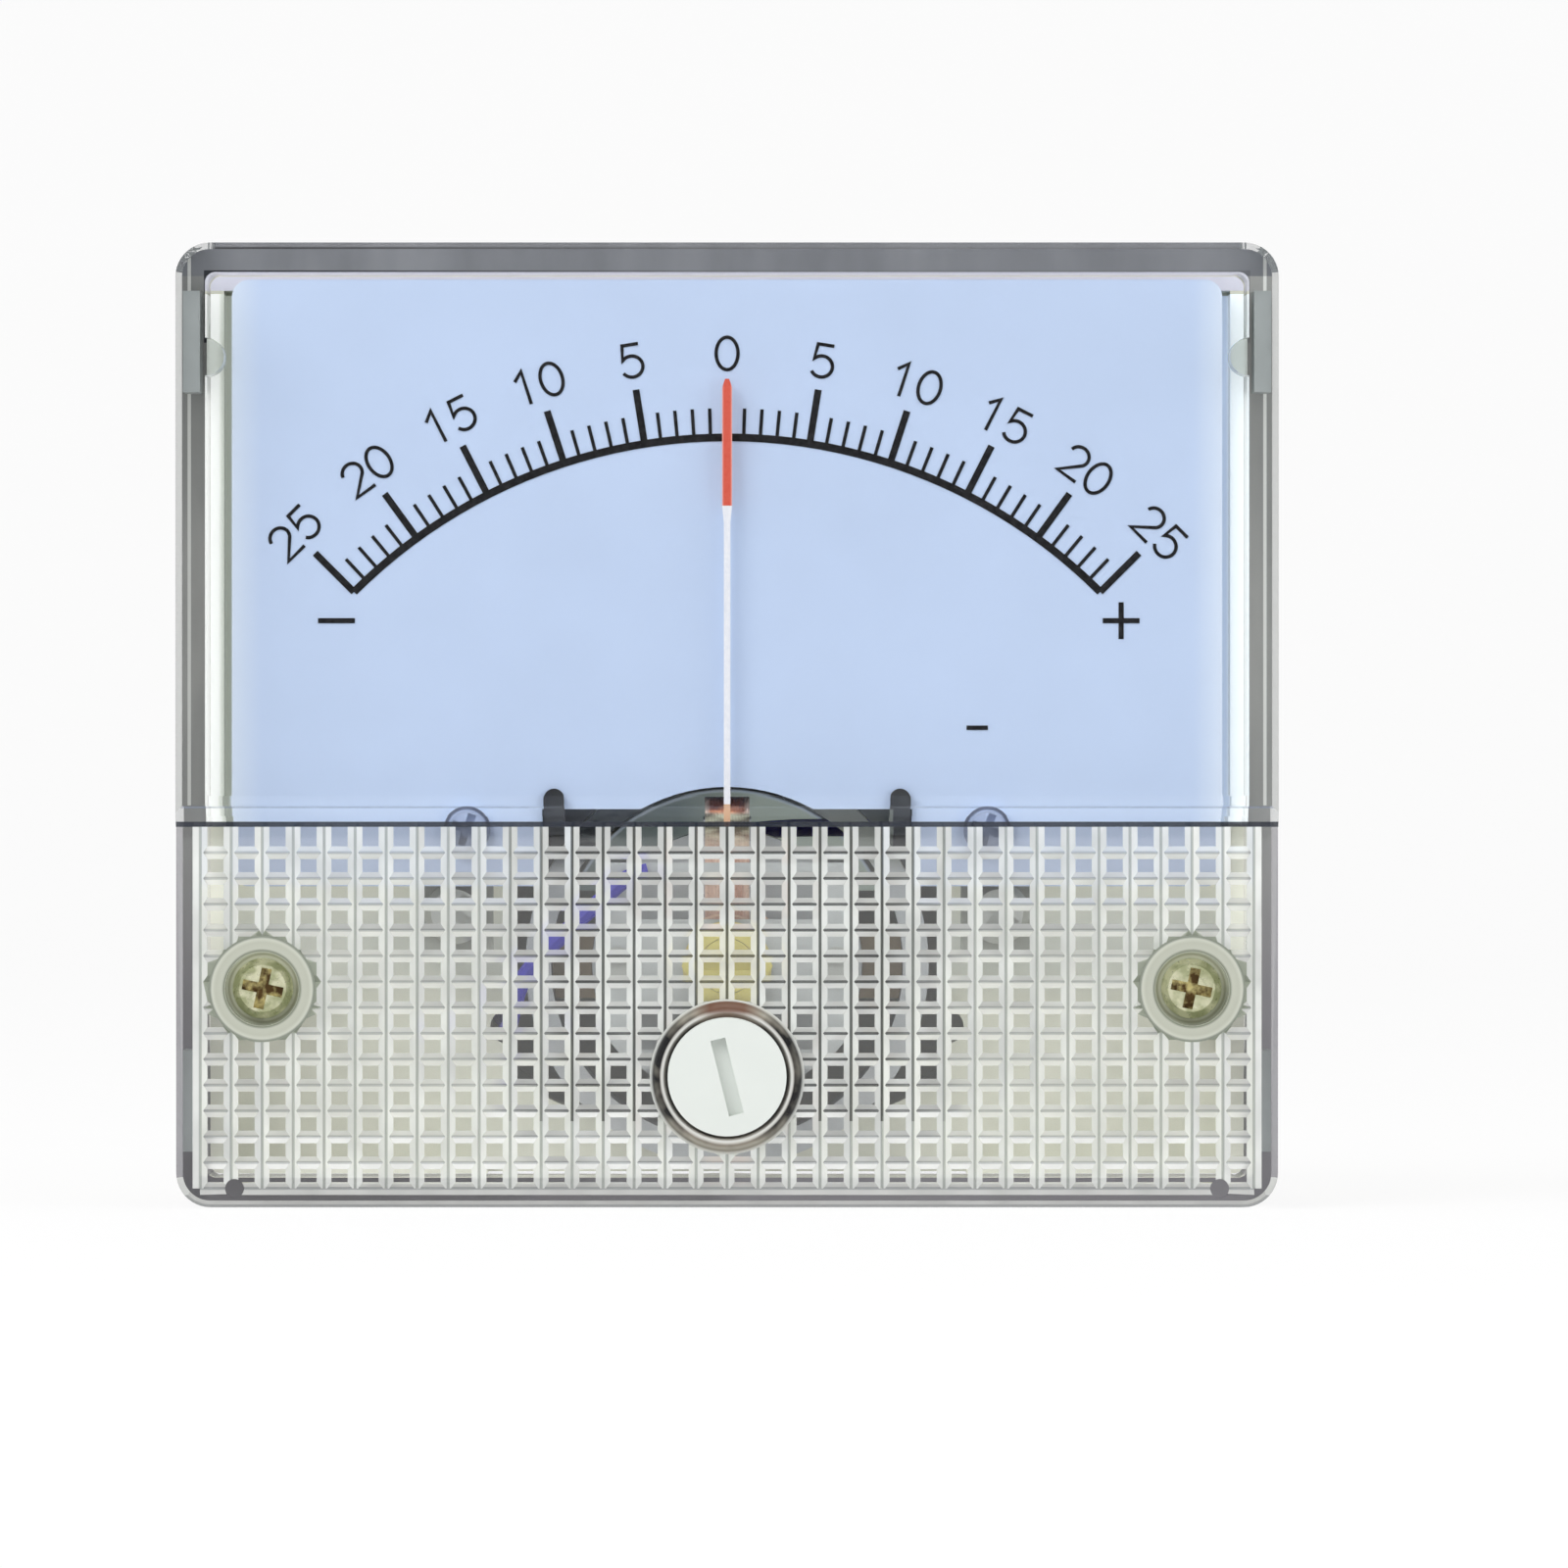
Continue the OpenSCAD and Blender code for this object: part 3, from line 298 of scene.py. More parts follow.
def cream_base():
    """Cream moulding, a little translucent. Its faint glow is painted light: at the rim beside
    the dial, below the dial's foot and at the drum's end behind the air gap. The rim also has painted highlights
    and a painted grey line."""
    # strengths of the painted glows
    rim_glow, gap_glow, foot_glow = 0.36, 0.85, 0.3
    rim_from, rim_foot, rim_top = 28.6 * MM, -5.8 * MM, 25.2 * MM
    rim_front_y, rim_back_y = -7 * MM, -1 * MM
    gap_in, gap_out, drum_end_y = 9.9 * MM, 10.15 * MM, 20 * MM
    s = Shader("cream_plastic")
    x, y, z = s.axes()
    broad = s.span(s.noise(260), 0, 1)
    fine = s.noise(4000)
    cream = s.mix(broad, srgb(218, 219, 200), srgb(231, 231, 213))
    at_top = s.both(s.above(z, 25.4 * MM), s.below(y, -2 * MM))
    behind = s.above(y, -1.6 * MM)
    plain = s.mix(s.span(broad, 0.3, 0.7, 0, 1), srgb(226, 223, 206), srgb(236, 233, 218))
    cream = s.mix(behind, cream, plain)
    tint = s.mix(at_top, cream, srgb(228, 228, 240))
    # painted highlights and a painted grey line on the rim beside the dial
    rim_left_painted_light = s.bands(x, MM, [
        (-30.3, srgb(249, 251, 247)), (-29.75, srgb(248, 250, 244)), (-29.55, srgb(214, 218, 208)),
        (-29.4, srgb(194, 199, 187)), (-29.15, srgb(196, 202, 192)), (-29.0, srgb(238, 246, 249)),
        (-28.6, srgb(214, 228, 246))])
    rim_right_painted_light = s.bands(x, MM, [
        (28.6, srgb(208, 225, 250)), (29.3, srgb(216, 230, 250)), (29.5, srgb(240, 249, 252)),
        (30.3, srgb(245, 252, 253))])
    rim = s.mix(s.above(x, 0), rim_left_painted_light, rim_right_painted_light)
    beside_dial = s.both(s.above(s.math("ABSOLUTE", x), rim_from), s.above(y, rim_front_y),
                         s.below(y, rim_back_y), s.above(z, rim_foot), s.below(z, rim_top))
    # painted light: a ring of light on the drum's end behind the air gap, darker on the left and lighter on the
    # right
    gap_light = s.both(s.above(y, drum_end_y), s.above(z, PIVOT.z + 4 * MM),
                       s.span(s.radius(PIVOT.x, PIVOT.z), 1, 0, gap_in, gap_out))
    gap_grey = s.mix(s.span(x, 0, 1, -3 * MM, 2 * MM), srgb(78, 88, 88), srgb(128, 138, 130))
    # painted light below the dial's foot
    under_dial = s.both(s.below(y, rim_back_y), s.span(z, 0, 1, -16 * MM, -9.6 * MM),
                        s.below(z, -8.8 * MM))
    glow = s.math("ADD", s.math("MULTIPLY", beside_dial, rim_glow), s.math("MULTIPLY", gap_light, gap_glow))
    glow = s.math("ADD", glow, s.math("MULTIPLY", under_dial, foot_glow))
    s.principled(Base_Color=s.mix(beside_dial, tint, rim), Roughness=s.span(fine, 0.38, 0.55),
                 Normal=s.bump(fine, 0.15, 0.02 * MM),
                 Emission_Color=s.mix(gap_light, s.mix(under_dial, rim, cream), gap_grey),
                 Emission_Strength=glow)
    return s.mat


def dark_carrier():
    """Dark moulding across the dial's cut-out, lighter in a patch on the right; its ears are dull and greyer."""
    s = Shader("dark_moulding")
    x, _, z = s.axes()
    fine = s.noise(5000)
    dark = s.mix(s.span(s.noise(300), 0, 1), srgb(24, 27, 33), srgb(52, 54, 56))
    # a lighter patch on the right of the bar
    lighter_patch = s.both(s.above(x, 5 * MM), s.below(x, 9.7 * MM), s.below(z, -4.9 * MM))
    dark = s.mix(s.math("MULTIPLY", lighter_patch, 0.8), dark, srgb(112, 118, 112))
    is_ear = s.below(z, -9.25 * MM)
    s.principled(Base_Color=s.mix(is_ear, dark, srgb(158, 160, 150)), Roughness=s.span(fine, 0.42, 0.6),
                 Normal=s.bump(fine, 0.1, 0.02 * MM))
    return s.mat


def dial_screw():
    """Blued head under the sloping band: inside the band it is painted in the dial's colour, standing in for the
    dial seen through the band, dark along its rim, with a painted highlight at its edge.
    """
    s = Shader("blued_screw")
    _, _, z = s.axes()
    # painted look of the dial on the head, a dark rim and a painted highlight at the edge
    rings = s.bands(s.radius(DIAL_SCREW_X, DIAL_SCREW_Z, True), MM, [
        (0.9, srgb(176, 192, 224)), (1.12, srgb(160, 174, 204)), (1.24, srgb(62, 70, 92)),
        (1.36, srgb(84, 92, 112)), (DIAL_SCREW_R, srgb(206, 218, 238))])
    under_band = s.above(z, FIELD_TOP)
    fine = s.noise(3000)
    s.principled(Base_Color=s.mix(under_band, srgb(128, 136, 154), rings), Metallic=0.2,
                 Roughness=s.span(fine, 0.3, 0.45), Normal=s.bump(fine, 0.08, 0.02 * MM))
    return s.mat


def yoke_iron():
    """Turned iron ring: bright below; where it shows over the carrier, painted shade with a painted sheen makes it
    dark, and painted light makes it lighter towards the right.
    """
    s = Shader("yoke_iron")
    x, _, z = s.axes()
    brushed = s.noise(2600, 3, (1, 0.05, 1))
    light = s.mix(s.span(s.noise(260), 0, 1), srgb(180, 184, 185), srgb(198, 200, 200))
    # painted shade with a painted sheen, turning to painted light towards the right
    painted_shade_and_sheen = s.mix(s.span(s.noise(700, 2, (1, 1, 3)), 0, 1, 0.4, 0.6), srgb(30, 36, 44), srgb(86, 92, 94))
    painted_shade_and_sheen = s.mix(s.span(x, 0, 0.85, 3 * MM, 6 * MM), painted_shade_and_sheen, srgb(170, 174, 166))
    s.principled(Base_Color=s.mix(s.span(z, 0, 1, -8.6 * MM, -7.8 * MM), light, painted_shade_and_sheen), Metallic=0.5,
                 Roughness=s.span(brushed, 0.3, 0.5), Normal=s.bump(brushed, 0.1, 0.02 * MM))
    return s.mat


def plated_screw():
    """Pale yellow plating with painted glints, golden down in the cross recess, where painted shade and painted
    glints make dark and bright patches.
    """
    s = Shader("screw_plated")
    _, y, _ = s.axes()
    fine = s.noise(2500)
    # pale plating; its bright and dark blotches are painted glints
    pale = s.mix(s.span(s.noise(1300), 0, 1, 0.4, 0.6), srgb(184, 188, 146), srgb(234, 233, 200))
    recess_r, recess_floor_y = 1.3 * MM, COVER_HEAD_Y + 0.9 * MM
    in_recess = s.both(s.above(y, COVER_HEAD_Y + 0.12 * MM), s.below(y, recess_floor_y),
                       s.below(s.radius(SCREW_X, SCREW_Z, True), recess_r))
    # the recess: partly its golden colour, partly painted shade and painted glints
    recess_golden_shade_and_glints = s.mix(s.span(s.noise(1700), 0, 1, 0.4, 0.6), srgb(96, 70, 26), srgb(248, 234, 164))
    s.principled(Base_Color=s.mix(in_recess, pale, recess_golden_shade_and_glints), Metallic=0.45,
                 Roughness=s.span(fine, 0.24, 0.36), Normal=s.bump(s.noise(1300), 0.3, 0.08 * MM))
    return s.mat


def pointer_paint():
    """White along the shaft, red towards the tip, the red paler at its edges, the root bare."""
    red_from, bare_to = PIVOT.z + 26.8 * MM, PIVOT.z + 9.4 * MM
    s = Shader("pointer_paint")
    x, _, z = s.axes()
    is_red = s.above(z, red_from)
    # the red turns paler along its edges
    at_edge = s.span(s.math("ABSOLUTE", x), 0, 1, 0.19 * MM, 0.27 * MM)
    red = s.mix(at_edge, srgb(222, 84, 62), srgb(240, 176, 165))
    fine = s.noise(5000)
    red = s.mix(s.span(fine, 0, 0.25), red, srgb(235, 120, 98))
    white = s.mix(s.span(fine, 0, 1), srgb(238, 240, 246), srgb(250, 250, 252))
    white = s.mix(s.below(z, bare_to), white, srgb(222, 176, 138))
    s.principled(Base_Color=s.mix(is_red, white, red), Roughness=s.span(fine, 0.35, 0.5),
                 Normal=s.bump(fine, 0.1, 0.01 * MM))
    return s.mat


def wound_copper():
    """Enamelled wire, bright where it bends over the top, with painted glints at its sides; below that dull and
    greyish with painted glints, and pale further down.
    """
    s = Shader("wound_copper")
    x, _, z = s.axes()
    strands = s.noise(1500, 2, (1, 0.15, 0.15))
    lying = s.noise(1900, 2, (0.22, 1, 1))
    bright = s.mix(s.span(lying, 0, 1, 0.42, 0.58), srgb(122, 58, 34), srgb(228, 150, 108))
    # painted glints along the sides of the winding
    painted_glint_at_side = s.span(s.math("ABSOLUTE", x), 0, 0.75, 0.95 * MM, 1.2 * MM)
    bright = s.mix(painted_glint_at_side, bright, srgb(236, 218, 204))
    # greyish below the top, its light spots painted glints
    greyish_with_painted_glints = s.mix(s.span(lying, 0, 1, 0.4, 0.6), srgb(104, 100, 84), srgb(204, 204, 178))
    bright = s.mix(s.span(z, 1, 0, -5.25 * MM, -5.05 * MM), bright, greyish_with_painted_glints)
    pale = s.mix(s.span(strands, 0, 1, 0.4, 0.6), srgb(196, 150, 128), srgb(226, 194, 172))
    lower = s.span(z, 1, 0, -7.6 * MM, -6 * MM)
    s.principled(Base_Color=s.mix(lower, bright, pale), Metallic=0.35,
                 Roughness=s.span(s.noise(6000), 0.26, 0.4), Normal=s.bump(strands, 0.25, 0.03 * MM))
    return s.mat


SLOTS = {item["node"]: item["material_slot"] for item in frame["record"]["subparts"]}
MATERIALS = {
    "cream_base": cream_base(),
    "cover_screws": plated_screw(),
    "white_adjuster": solid("white_plastic", srgb(238, 243, 238), 0.35, vary=0.015),
    "dial_blue": dial_paint(),
    "scale_ink": solid("black_ink", srgb(8, 8, 13), 0.85, vary=0.2, bump=0.03),
    "dark_screws": dial_screw(),
    "carrier_plastic": dark_carrier(),
    "steel_screws": solid("screw_steel", srgb(186, 188, 182), 0.4, 0.6, bump=0.03),
    "yoke_steel": yoke_iron(),
    "magnet": solid("core_bright", srgb(186, 190, 190), 0.4, 0.7, vary=0.05),
    "spacer_brass": solid("aged_brass", srgb(118, 104, 80), 0.45, 0.5, bump=0.03),
    "bridge_metal": solid("bridge_metal", srgb(196, 200, 198), 0.42, 0.6, vary=0.05),
    "brass": solid("brass", srgb(218, 208, 128), 0.36, 0.6, bump=0.03),
    "ruby": solid("ruby", srgb(190, 30, 60), 0.12, vary=0.1, bump=0.02),
    "regulator_bronze": solid("regulator_bronze", srgb(216, 204, 140), 0.38, 0.6, bump=0.03),
    "pointer_paint": pointer_paint(),
    "aluminium": solid("aluminium", srgb(214, 216, 220), 0.3, 0.95, stretch=(0.1, 1, 1)),
    "copper_winding": wound_copper(),
    "staff_steel": solid("staff_steel", srgb(190, 192, 200), 0.2, 0.95),
    "spring_bronze": solid("spring_bronze", srgb(222, 190, 164), 0.34, 0.6, bump=0.03),
    "lead_blue": solid("lead_blue", srgb(38, 26, 160), 0.6, vary=0.08, bump=0.05),
    "stud_nickel": solid("stud_nickel", srgb(212, 208, 194), 0.28, 0.92),
    "terminal_brass": solid("terminal_brass", srgb(206, 184, 132), 0.34, 0.95, bump=0.08),
    "lug_tin": solid("lug_tin", srgb(206, 206, 204), 0.36, 0.9),
}
for name, obj in nodes.items():
    if name != "front_cover":
        obj.data.materials.clear()
        obj.data.materials.append(MATERIALS[SLOTS[name]])


# ---- the clear cover: one moulding whose parts take the light in their own ways, several with painted light and shade ----

def plastic(name, colour, rough, through):
    """Clear plastic that also scatters some light: through is the share that passes."""
    s = Shader(name)
    waves = s.noise(900, 2)
    glass = s.principled(
        Base_Color=s.mix(s.span(waves, 0, 1), shade(colour, 0.97), shade(colour, 1.03)),
        Roughness=rough, IOR=1.5, Transmission_Weight=through)
    lit_glass(s, glass)
    return s.mat


def groove_flank(name, colour, line, bottom_y, line_deep, through):
    """A pale flank, its whiteness partly frost and partly painted light, with a thin painted line of shade along
    the groove's bottom, painted darker in front of the movement. It has a faint painted glow, standing for the
    light that the plastic carries along."""
    flank_painted_glow = 0.14
    s = Shader(name)
    x, y, z = s.axes()
    patchy = s.span(s.noise(420, 1), 0, 1)
    pale = s.mix(patchy, shade(colour, 0.84), colour)
    at_bottom = s.above(y, bottom_y - line_deep)
    # painted shade: the line along the groove's bottom is darker in front of the movement
    painted_shade_at_movement = s.both(s.span(s.math("ABSOLUTE", x), 1, 0, 9 * MM, 14 * MM), s.above(z, -23 * MM))
    tint = s.mix(at_bottom, pale, s.mix(painted_shade_at_movement, line, shade(line, 0.3)))
    glass = s.principled(Base_Color=tint, Roughness=0.22, IOR=1.5, Transmission_Weight=through,
                         Emission_Color=tint, Emission_Strength=flank_painted_glow)
    lit_glass(s, glass)
    return s.mat


def see_through(name, colour, alpha, rough):
    """A thin veil of colour that lets the view straight through."""
    s = Shader(name)
    waves = s.span(s.noise(500, 2), 0, 1)
    tint = s.mix(waves, shade(colour, 0.97), colour)
    s.principled(Base_Color=tint, Roughness=rough, Alpha=alpha)
    return s.mat


def bevel_plastic():
    """The sloping band: a painted soft grey line of shade at its top, a painted hard dark one at its foot."""
    foot, head = FIELD_TOP + 0.3 * MM, WINDOW_FOOT - 0.12 * MM
    cutout_in, cutout_out = 10.5 * MM, 11.5 * MM
    s = Shader("cover_bevel")
    x, _, z = s.axes()
    waves = s.span(s.noise(500, 2), 0, 1)
    # painted shade: a hard dark line at the band's foot and a soft grey one at its top
    painted_shade_at_foot = s.below(z, foot)
    painted_shade_at_head = s.both(s.above(z, head), s.span(s.math("ABSOLUTE", x), 0.12, 1, cutout_in, cutout_out))
    tint = s.mix(waves, srgb(212, 224, 246), srgb(222, 232, 250))
    tint = s.mix(painted_shade_at_head, tint, srgb(140, 156, 188))
    tint = s.mix(painted_shade_at_foot, tint, srgb(34, 42, 60))
    lines = s.math("ADD", s.math("MULTIPLY", painted_shade_at_foot, 0.9), s.math("MULTIPLY", painted_shade_at_head, 0.4))
    alpha = s.math("ADD", 0.04, lines)
    s.principled(Base_Color=tint, Roughness=0.06, Alpha=alpha)
    return s.mat


def wall_end():
    """The wall's rear edge, seen through its length: grey, with a painted dark line of shade along the inside and
    a painted highlight near the outside. The sides have a painted glow, standing for the light that comes down the
    wall, the right one more."""
    line_in, line_out = 0.08 * MM, 0.34 * MM
    highlight_in, highlight_out = 1.1 * MM, 1.3 * MM
    s = Shader("cover_edge")
    x, _, z = s.axes()
    streaks = s.noise(300, 3, (1, 1, 0.2))
    side_grey = s.mix(s.span(streaks, 0, 1), srgb(128, 130, 129), srgb(154, 155, 153))
    top_grey = s.mix(s.span(streaks, 0, 1), srgb(118, 121, 127), srgb(136, 139, 145))
    over = s.math("SUBTRACT", z, WALL_TOP_IN)
    beside = s.math("SUBTRACT", s.math("ABSOLUTE", x), WALL_IN)
    low_down = s.span(z, 1, 0, -16 * MM, -4 * MM)
    grey = s.mix(low_down, side_grey, srgb(118, 116, 121))
    grey = s.mix(s.above(over, 0), grey, top_grey)
    inside = s.math("MAXIMUM", beside, over)
    corner = s.both(s.above(z, 22.4 * MM), s.span(x, 1, 0.25, -27 * MM, 6 * MM))
    # painted shade: a dark line along the inside near the top corner
    dark_line = s.both(s.below(inside, line_out), s.above(inside, line_in), corner)
    # painted highlight: a pale line near the outside
    painted_highlight_line = s.both(s.above(beside, highlight_in), s.below(beside, highlight_out), s.above(z, WINDOW_FOOT))
    tint = s.mix(dark_line, grey, srgb(30, 34, 42))
    tint = s.mix(s.math("MULTIPLY", painted_highlight_line, 0.7), tint, srgb(228, 230, 226))
    # painted glow on the sides, more on the right
    glow = s.math("MULTIPLY", s.below(over, 0), s.span(x, 0.1, 0.42, -1 * MM, 1 * MM))
    s.principled(Base_Color=tint, Roughness=0.5, Normal=s.bump(streaks, 0.1, 0.02 * MM),
                 Emission_Color=tint, Emission_Strength=glow)
    return s.mat


def boss_plastic():
    """Clear ring round a cover screw, with painted dark lines of shade along its edges and painted highlights
    between.
    """
    s = Shader("cover_boss")
    # painted shade and painted highlights in rings round the screw
    ring = s.bands(s.radius(SCREW_X, SCREW_Z, True), MM, [
        (1.6, srgb(206, 210, 190)), (1.86, srgb(228, 230, 212)), (1.98, srgb(176, 178, 152)),
        (2.12, srgb(222, 226, 210)), (2.2, srgb(126, 132, 114)), (2.34, srgb(205, 208, 194)),
        (2.7, srgb(200, 203, 188)), (2.9, srgb(216, 219, 206)), (3.02, srgb(140, 146, 134)),
        (3.14, srgb(166, 172, 158))])
    rough = s.span(s.noise(700, 2), 0.1, 0.25)
    lit_glass(s, s.principled(Base_Color=ring, Roughness=rough, IOR=1.3, Transmission_Weight=0.06))
    return s.mat


def collar_plastic():
    """Clear collar round the zero adjuster, painted with rings of the dark it refracts beside it and of the light
    above and below, and a painted brownish reflection at the top.
    """
    s = Shader("cover_collar")
    x, _, z = s.axes()
    out = s.radius(ADJUSTER.x, ADJUSTER.z)
    up = s.math("SUBTRACT", z, ADJUSTER.z)
    # painted rings of refracted shade and light round the adjuster
    painted_dark_ring = s.bands(out, MM, [
        (3.5, srgb(60, 58, 56)), (3.64, srgb(120, 116, 110)), (3.74, srgb(242, 242, 238)),
        (3.84, srgb(214, 212, 206)), (3.92, srgb(30, 30, 32)), (4.12, srgb(14, 14, 16)),
        (4.3, srgb(60, 60, 60)), (4.4, srgb(196, 198, 194)), (4.5, srgb(226, 228, 224))])
    painted_light_ring = s.bands(out, MM, [
        (3.5, srgb(140, 132, 122)), (3.64, srgb(170, 164, 154)), (3.74, srgb(242, 242, 238)),
        (3.84, srgb(222, 220, 212)), (3.96, srgb(150, 142, 130)), (4.14, srgb(186, 182, 168)),
        (4.3, srgb(150, 146, 134)), (4.4, srgb(208, 208, 200)), (4.5, srgb(228, 230, 224))])
    tall = s.span(s.math("ABSOLUTE", up), 0, 1, 2.2 * MM, 3.6 * MM)
    patchy = s.span(s.noise(640, 2), -0.35, 0.35, 0.35, 0.65)
    tint = s.mix(s.span(s.math("ADD", tall, patchy), 0, 1, 0, 1), painted_dark_ring, painted_light_ring)
    # painted reflection: a brownish patch at the top of the ring
    brown = s.both(s.span(up, 0, 0.8, 3.3 * MM, 3.8 * MM),
                   s.span(s.math("ABSOLUTE", x), 1, 0, 1 * MM, 2.2 * MM), s.below(out, 4.38 * MM))
    tint = s.mix(brown, tint, srgb(116, 70, 50))
    lit_glass(s, s.principled(Base_Color=tint, Roughness=0.12, IOR=1.3, Transmission_Weight=0.08))
    return s.mat


COVER_KINDS = {
    "clear": clear("cover_clear", (0.985, 0.99, 1.0), 0.01),
    "edge": wall_end(),
    "upright": groove_flank("groove_upright", srgb(246, 248, 245), srgb(188, 192, 188),
                            FIELD_Y + GROOVE_DEEP, 0.1 * MM, 0.35),
    "level": groove_flank("groove_level", srgb(238, 239, 236), srgb(188, 191, 190),
                          FIELD_Y + GROOVE_SHALLOW, 0.07 * MM, 0.5),
    "bevel": bevel_plastic(),
    "bevel_back": see_through("cover_bevel_back", srgb(214, 226, 248), 0.05, 0.05),
    "pocket": plastic("cover_pocket", srgb(170, 177, 177), 0.3, 0.12),
    "outer_side": see_through("cover_outer_side", srgb(196, 198, 195), 0.45, 0.2),
    "outer_low": see_through("cover_outer_low", srgb(152, 150, 156), 0.6, 0.2),
    "pip": plastic("cover_pip", srgb(206, 212, 206), 0.2, 0.5),
    "collar": collar_plastic(),
    "boss": boss_plastic(),
}


def near(point, x, z, reach):
    """Whether a point is within reach of an axis along Y."""
    return (point.x - x) ** 2 + (point.z - z) ** 2 < reach ** 2


def cover_kind(centre, normal):
    """The kind of one face, from where it lies and which way it looks."""
    side = abs(centre.x)
    sideways = abs(normal.x) > 0.7
    pocket_in, pocket_out, pocket_y = WALL_IN + 0.3 * MM, WALL_IN + 1.5 * MM, -8.2 * MM
    pip_in, pip_out, pip_foot, pip_top = 29 * MM, 30.35 * MM, 19.5 * MM, 23 * MM
    past_grooves = FIELD_Y + GROOVE_DEEP + 0.1 * MM
    band_in_foot = FIELD_TOP + BAND_IN_RISE - 0.1 * MM
    band_in_top = WINDOW_FOOT + BAND_IN_RISE + 0.1 * MM
    if centre.y > -0.02 * MM and normal.y > 0.9:
        return "edge"
    if pocket_in < side < pocket_out and centre.y > pocket_y:
        return "pocket"
    if near(centre, ADJUSTER.x, ADJUSTER.z, 4.6 * MM) and centre.y < FIELD_Y + 0.3 * MM:
        return "collar"
    reach = 3.3 * MM if centre.y < FIELD_Y + 0.9 * MM else 2.4 * MM
    if near(Vector((side, 0, centre.z)), SCREW_X, SCREW_Z, reach) and centre.y < -8 * MM:
        return "boss"
    if sideways and side > WALL_OUT - 0.7 * MM:
        return "outer_side" if centre.z > WINDOW_FOOT else "outer_low"
    inner_wall = sideways and abs(side - WALL_IN) < 0.2 * MM
    if inner_wall and centre.z < FIELD_TOP and centre.y > FIELD_Y + 0.8 * MM:
        return "outer_low"
    if FIELD_TOP < centre.z < WINDOW_FOOT and centre.y < FIELD_Y + 0.05 * MM and normal.z < -0.3:
        return "bevel"
    behind_band = WINDOW_IN_Y - 0.05 * MM < centre.y < FIELD_IN_Y + 0.1 * MM
    if behind_band and band_in_foot < centre.z < band_in_top and abs(normal.z) > 0.3:
        return "bevel_back"
    if pip_in < side < pip_out and pip_foot < centre.z < pip_top and centre.y > FIELD_Y:
        return "pip"
    in_field = FIELD_Y + 0.02 * MM < centre.y < past_grooves and centre.z < FIELD_TOP
    if in_field and -0.97 < normal.y < -0.3:
        return "upright" if abs(normal.x) > abs(normal.z) else "level"
    return "clear"


def dress_cover():
    """Each part of the one moulded cover takes its own material, several with painted light and shade."""
    mesh = nodes["front_cover"].data
    mesh.materials.clear()
    order = list(COVER_KINDS)
    for material in COVER_KINDS.values():
        mesh.materials.append(material)
    for face in mesh.polygons:
        face.material_index = order.index(cover_kind(face.center, face.normal))


dress_cover()


# ---- print on the dial ----

def mesh_object(name, verts, faces):
    mesh = bpy.data.meshes.new(name)
    mesh.from_pydata(verts, [], faces)
    mesh.validate()
    mesh.update()
    obj = bpy.data.objects.new(name, mesh)
    scene.collection.objects.link(obj)
    return obj


def arc(cx, cz, rx, rz, start, end, steps):
    """Points of an ellipse's arc from one angle to another, in degrees."""
    return [(cx + rx * cos(radians(start + (end - start) * i / steps)),
             cz + rz * sin(radians(start + (end - start) * i / steps))) for i in range(steps + 1)]


# strokes of each sign in a box one unit high, as (points, whether the stroke is closed)
SIGNS = {
    "0": [(arc(0.36, 0.5, 0.31, 0.46, 0, 360, 40)[:-1], True)],
    "1": [([(0.14, 0.73), (0.40, 0.97), (0.40, 0.0)], False)],
    "2": [(arc(0.36, 0.69, 0.29, 0.27, 170, -38, 24) + [(0.06, 0.04), (0.70, 0.04)], False)],
    "5": [([(0.62, 0.96), (0.16, 0.96), (0.11, 0.53)] + arc(0.35, 0.34, 0.31, 0.30, 128, -148, 30), False)],
    "-": [([(0.0, 0.5), (1.0, 0.5)], False)],
    "+": [([(0.0, 0.5), (1.0, 0.5)], False), ([(0.5, 0.0), (0.5, 1.0)], False)],
}


def ribbon(points, width, closed):
    """The two edges of a stroke, with mitred corners."""
    count = len(points)
    pts = [Vector(p) for p in points]
    left, right = [], []
    for i, here in enumerate(pts):
        before = pts[i - 1] if i or closed else None
        after = pts[(i + 1) % count] if i < count - 1 or closed else None
        ways = [(b - a).normalized() for a, b in ((before, here), (here, after)) if a and b]
        along = sum(ways, Vector((0, 0))).normalized()
        across = Vector((-along.y, along.x))
        side = Vector((-ways[0].y, ways[0].x))
        reach = width / 2 / max(0.5, across.dot(side))
        left.append(here + across * reach)
        right.append(here - across * reach)
    return left, right


def print_strokes(name, strokes, front, back):
    """One flat mesh with all the strokes, each a thin solid from front to back."""
    verts, faces = [], []
    for points, width, closed in strokes:
        left, right = ribbon(points, width, closed)
        base, n = len(verts), len(left)
        for y in (front, back):
            for p in left + right:
                verts.append((p.x, y, p.y))
        last = n if closed else n - 1
        for i in range(last):
            j = (i + 1) % n
            a, b, c, d = base + i, base + j, base + n + j, base + n + i
            e = 2 * n
            faces += [(a, b, c, d), (d + e, c + e, b + e, a + e)]
            faces += [(b, a, a + e, b + e), (d, c, c + e, d + e)]
        if not closed:
            for i in (0, n - 1):
                a, d, e = base + i, base + n + i, 2 * n
                faces.append((a, d, d + e, a + e) if i == 0 else (d, a, a + e, d + e))
    return mesh_object(name, verts, faces)


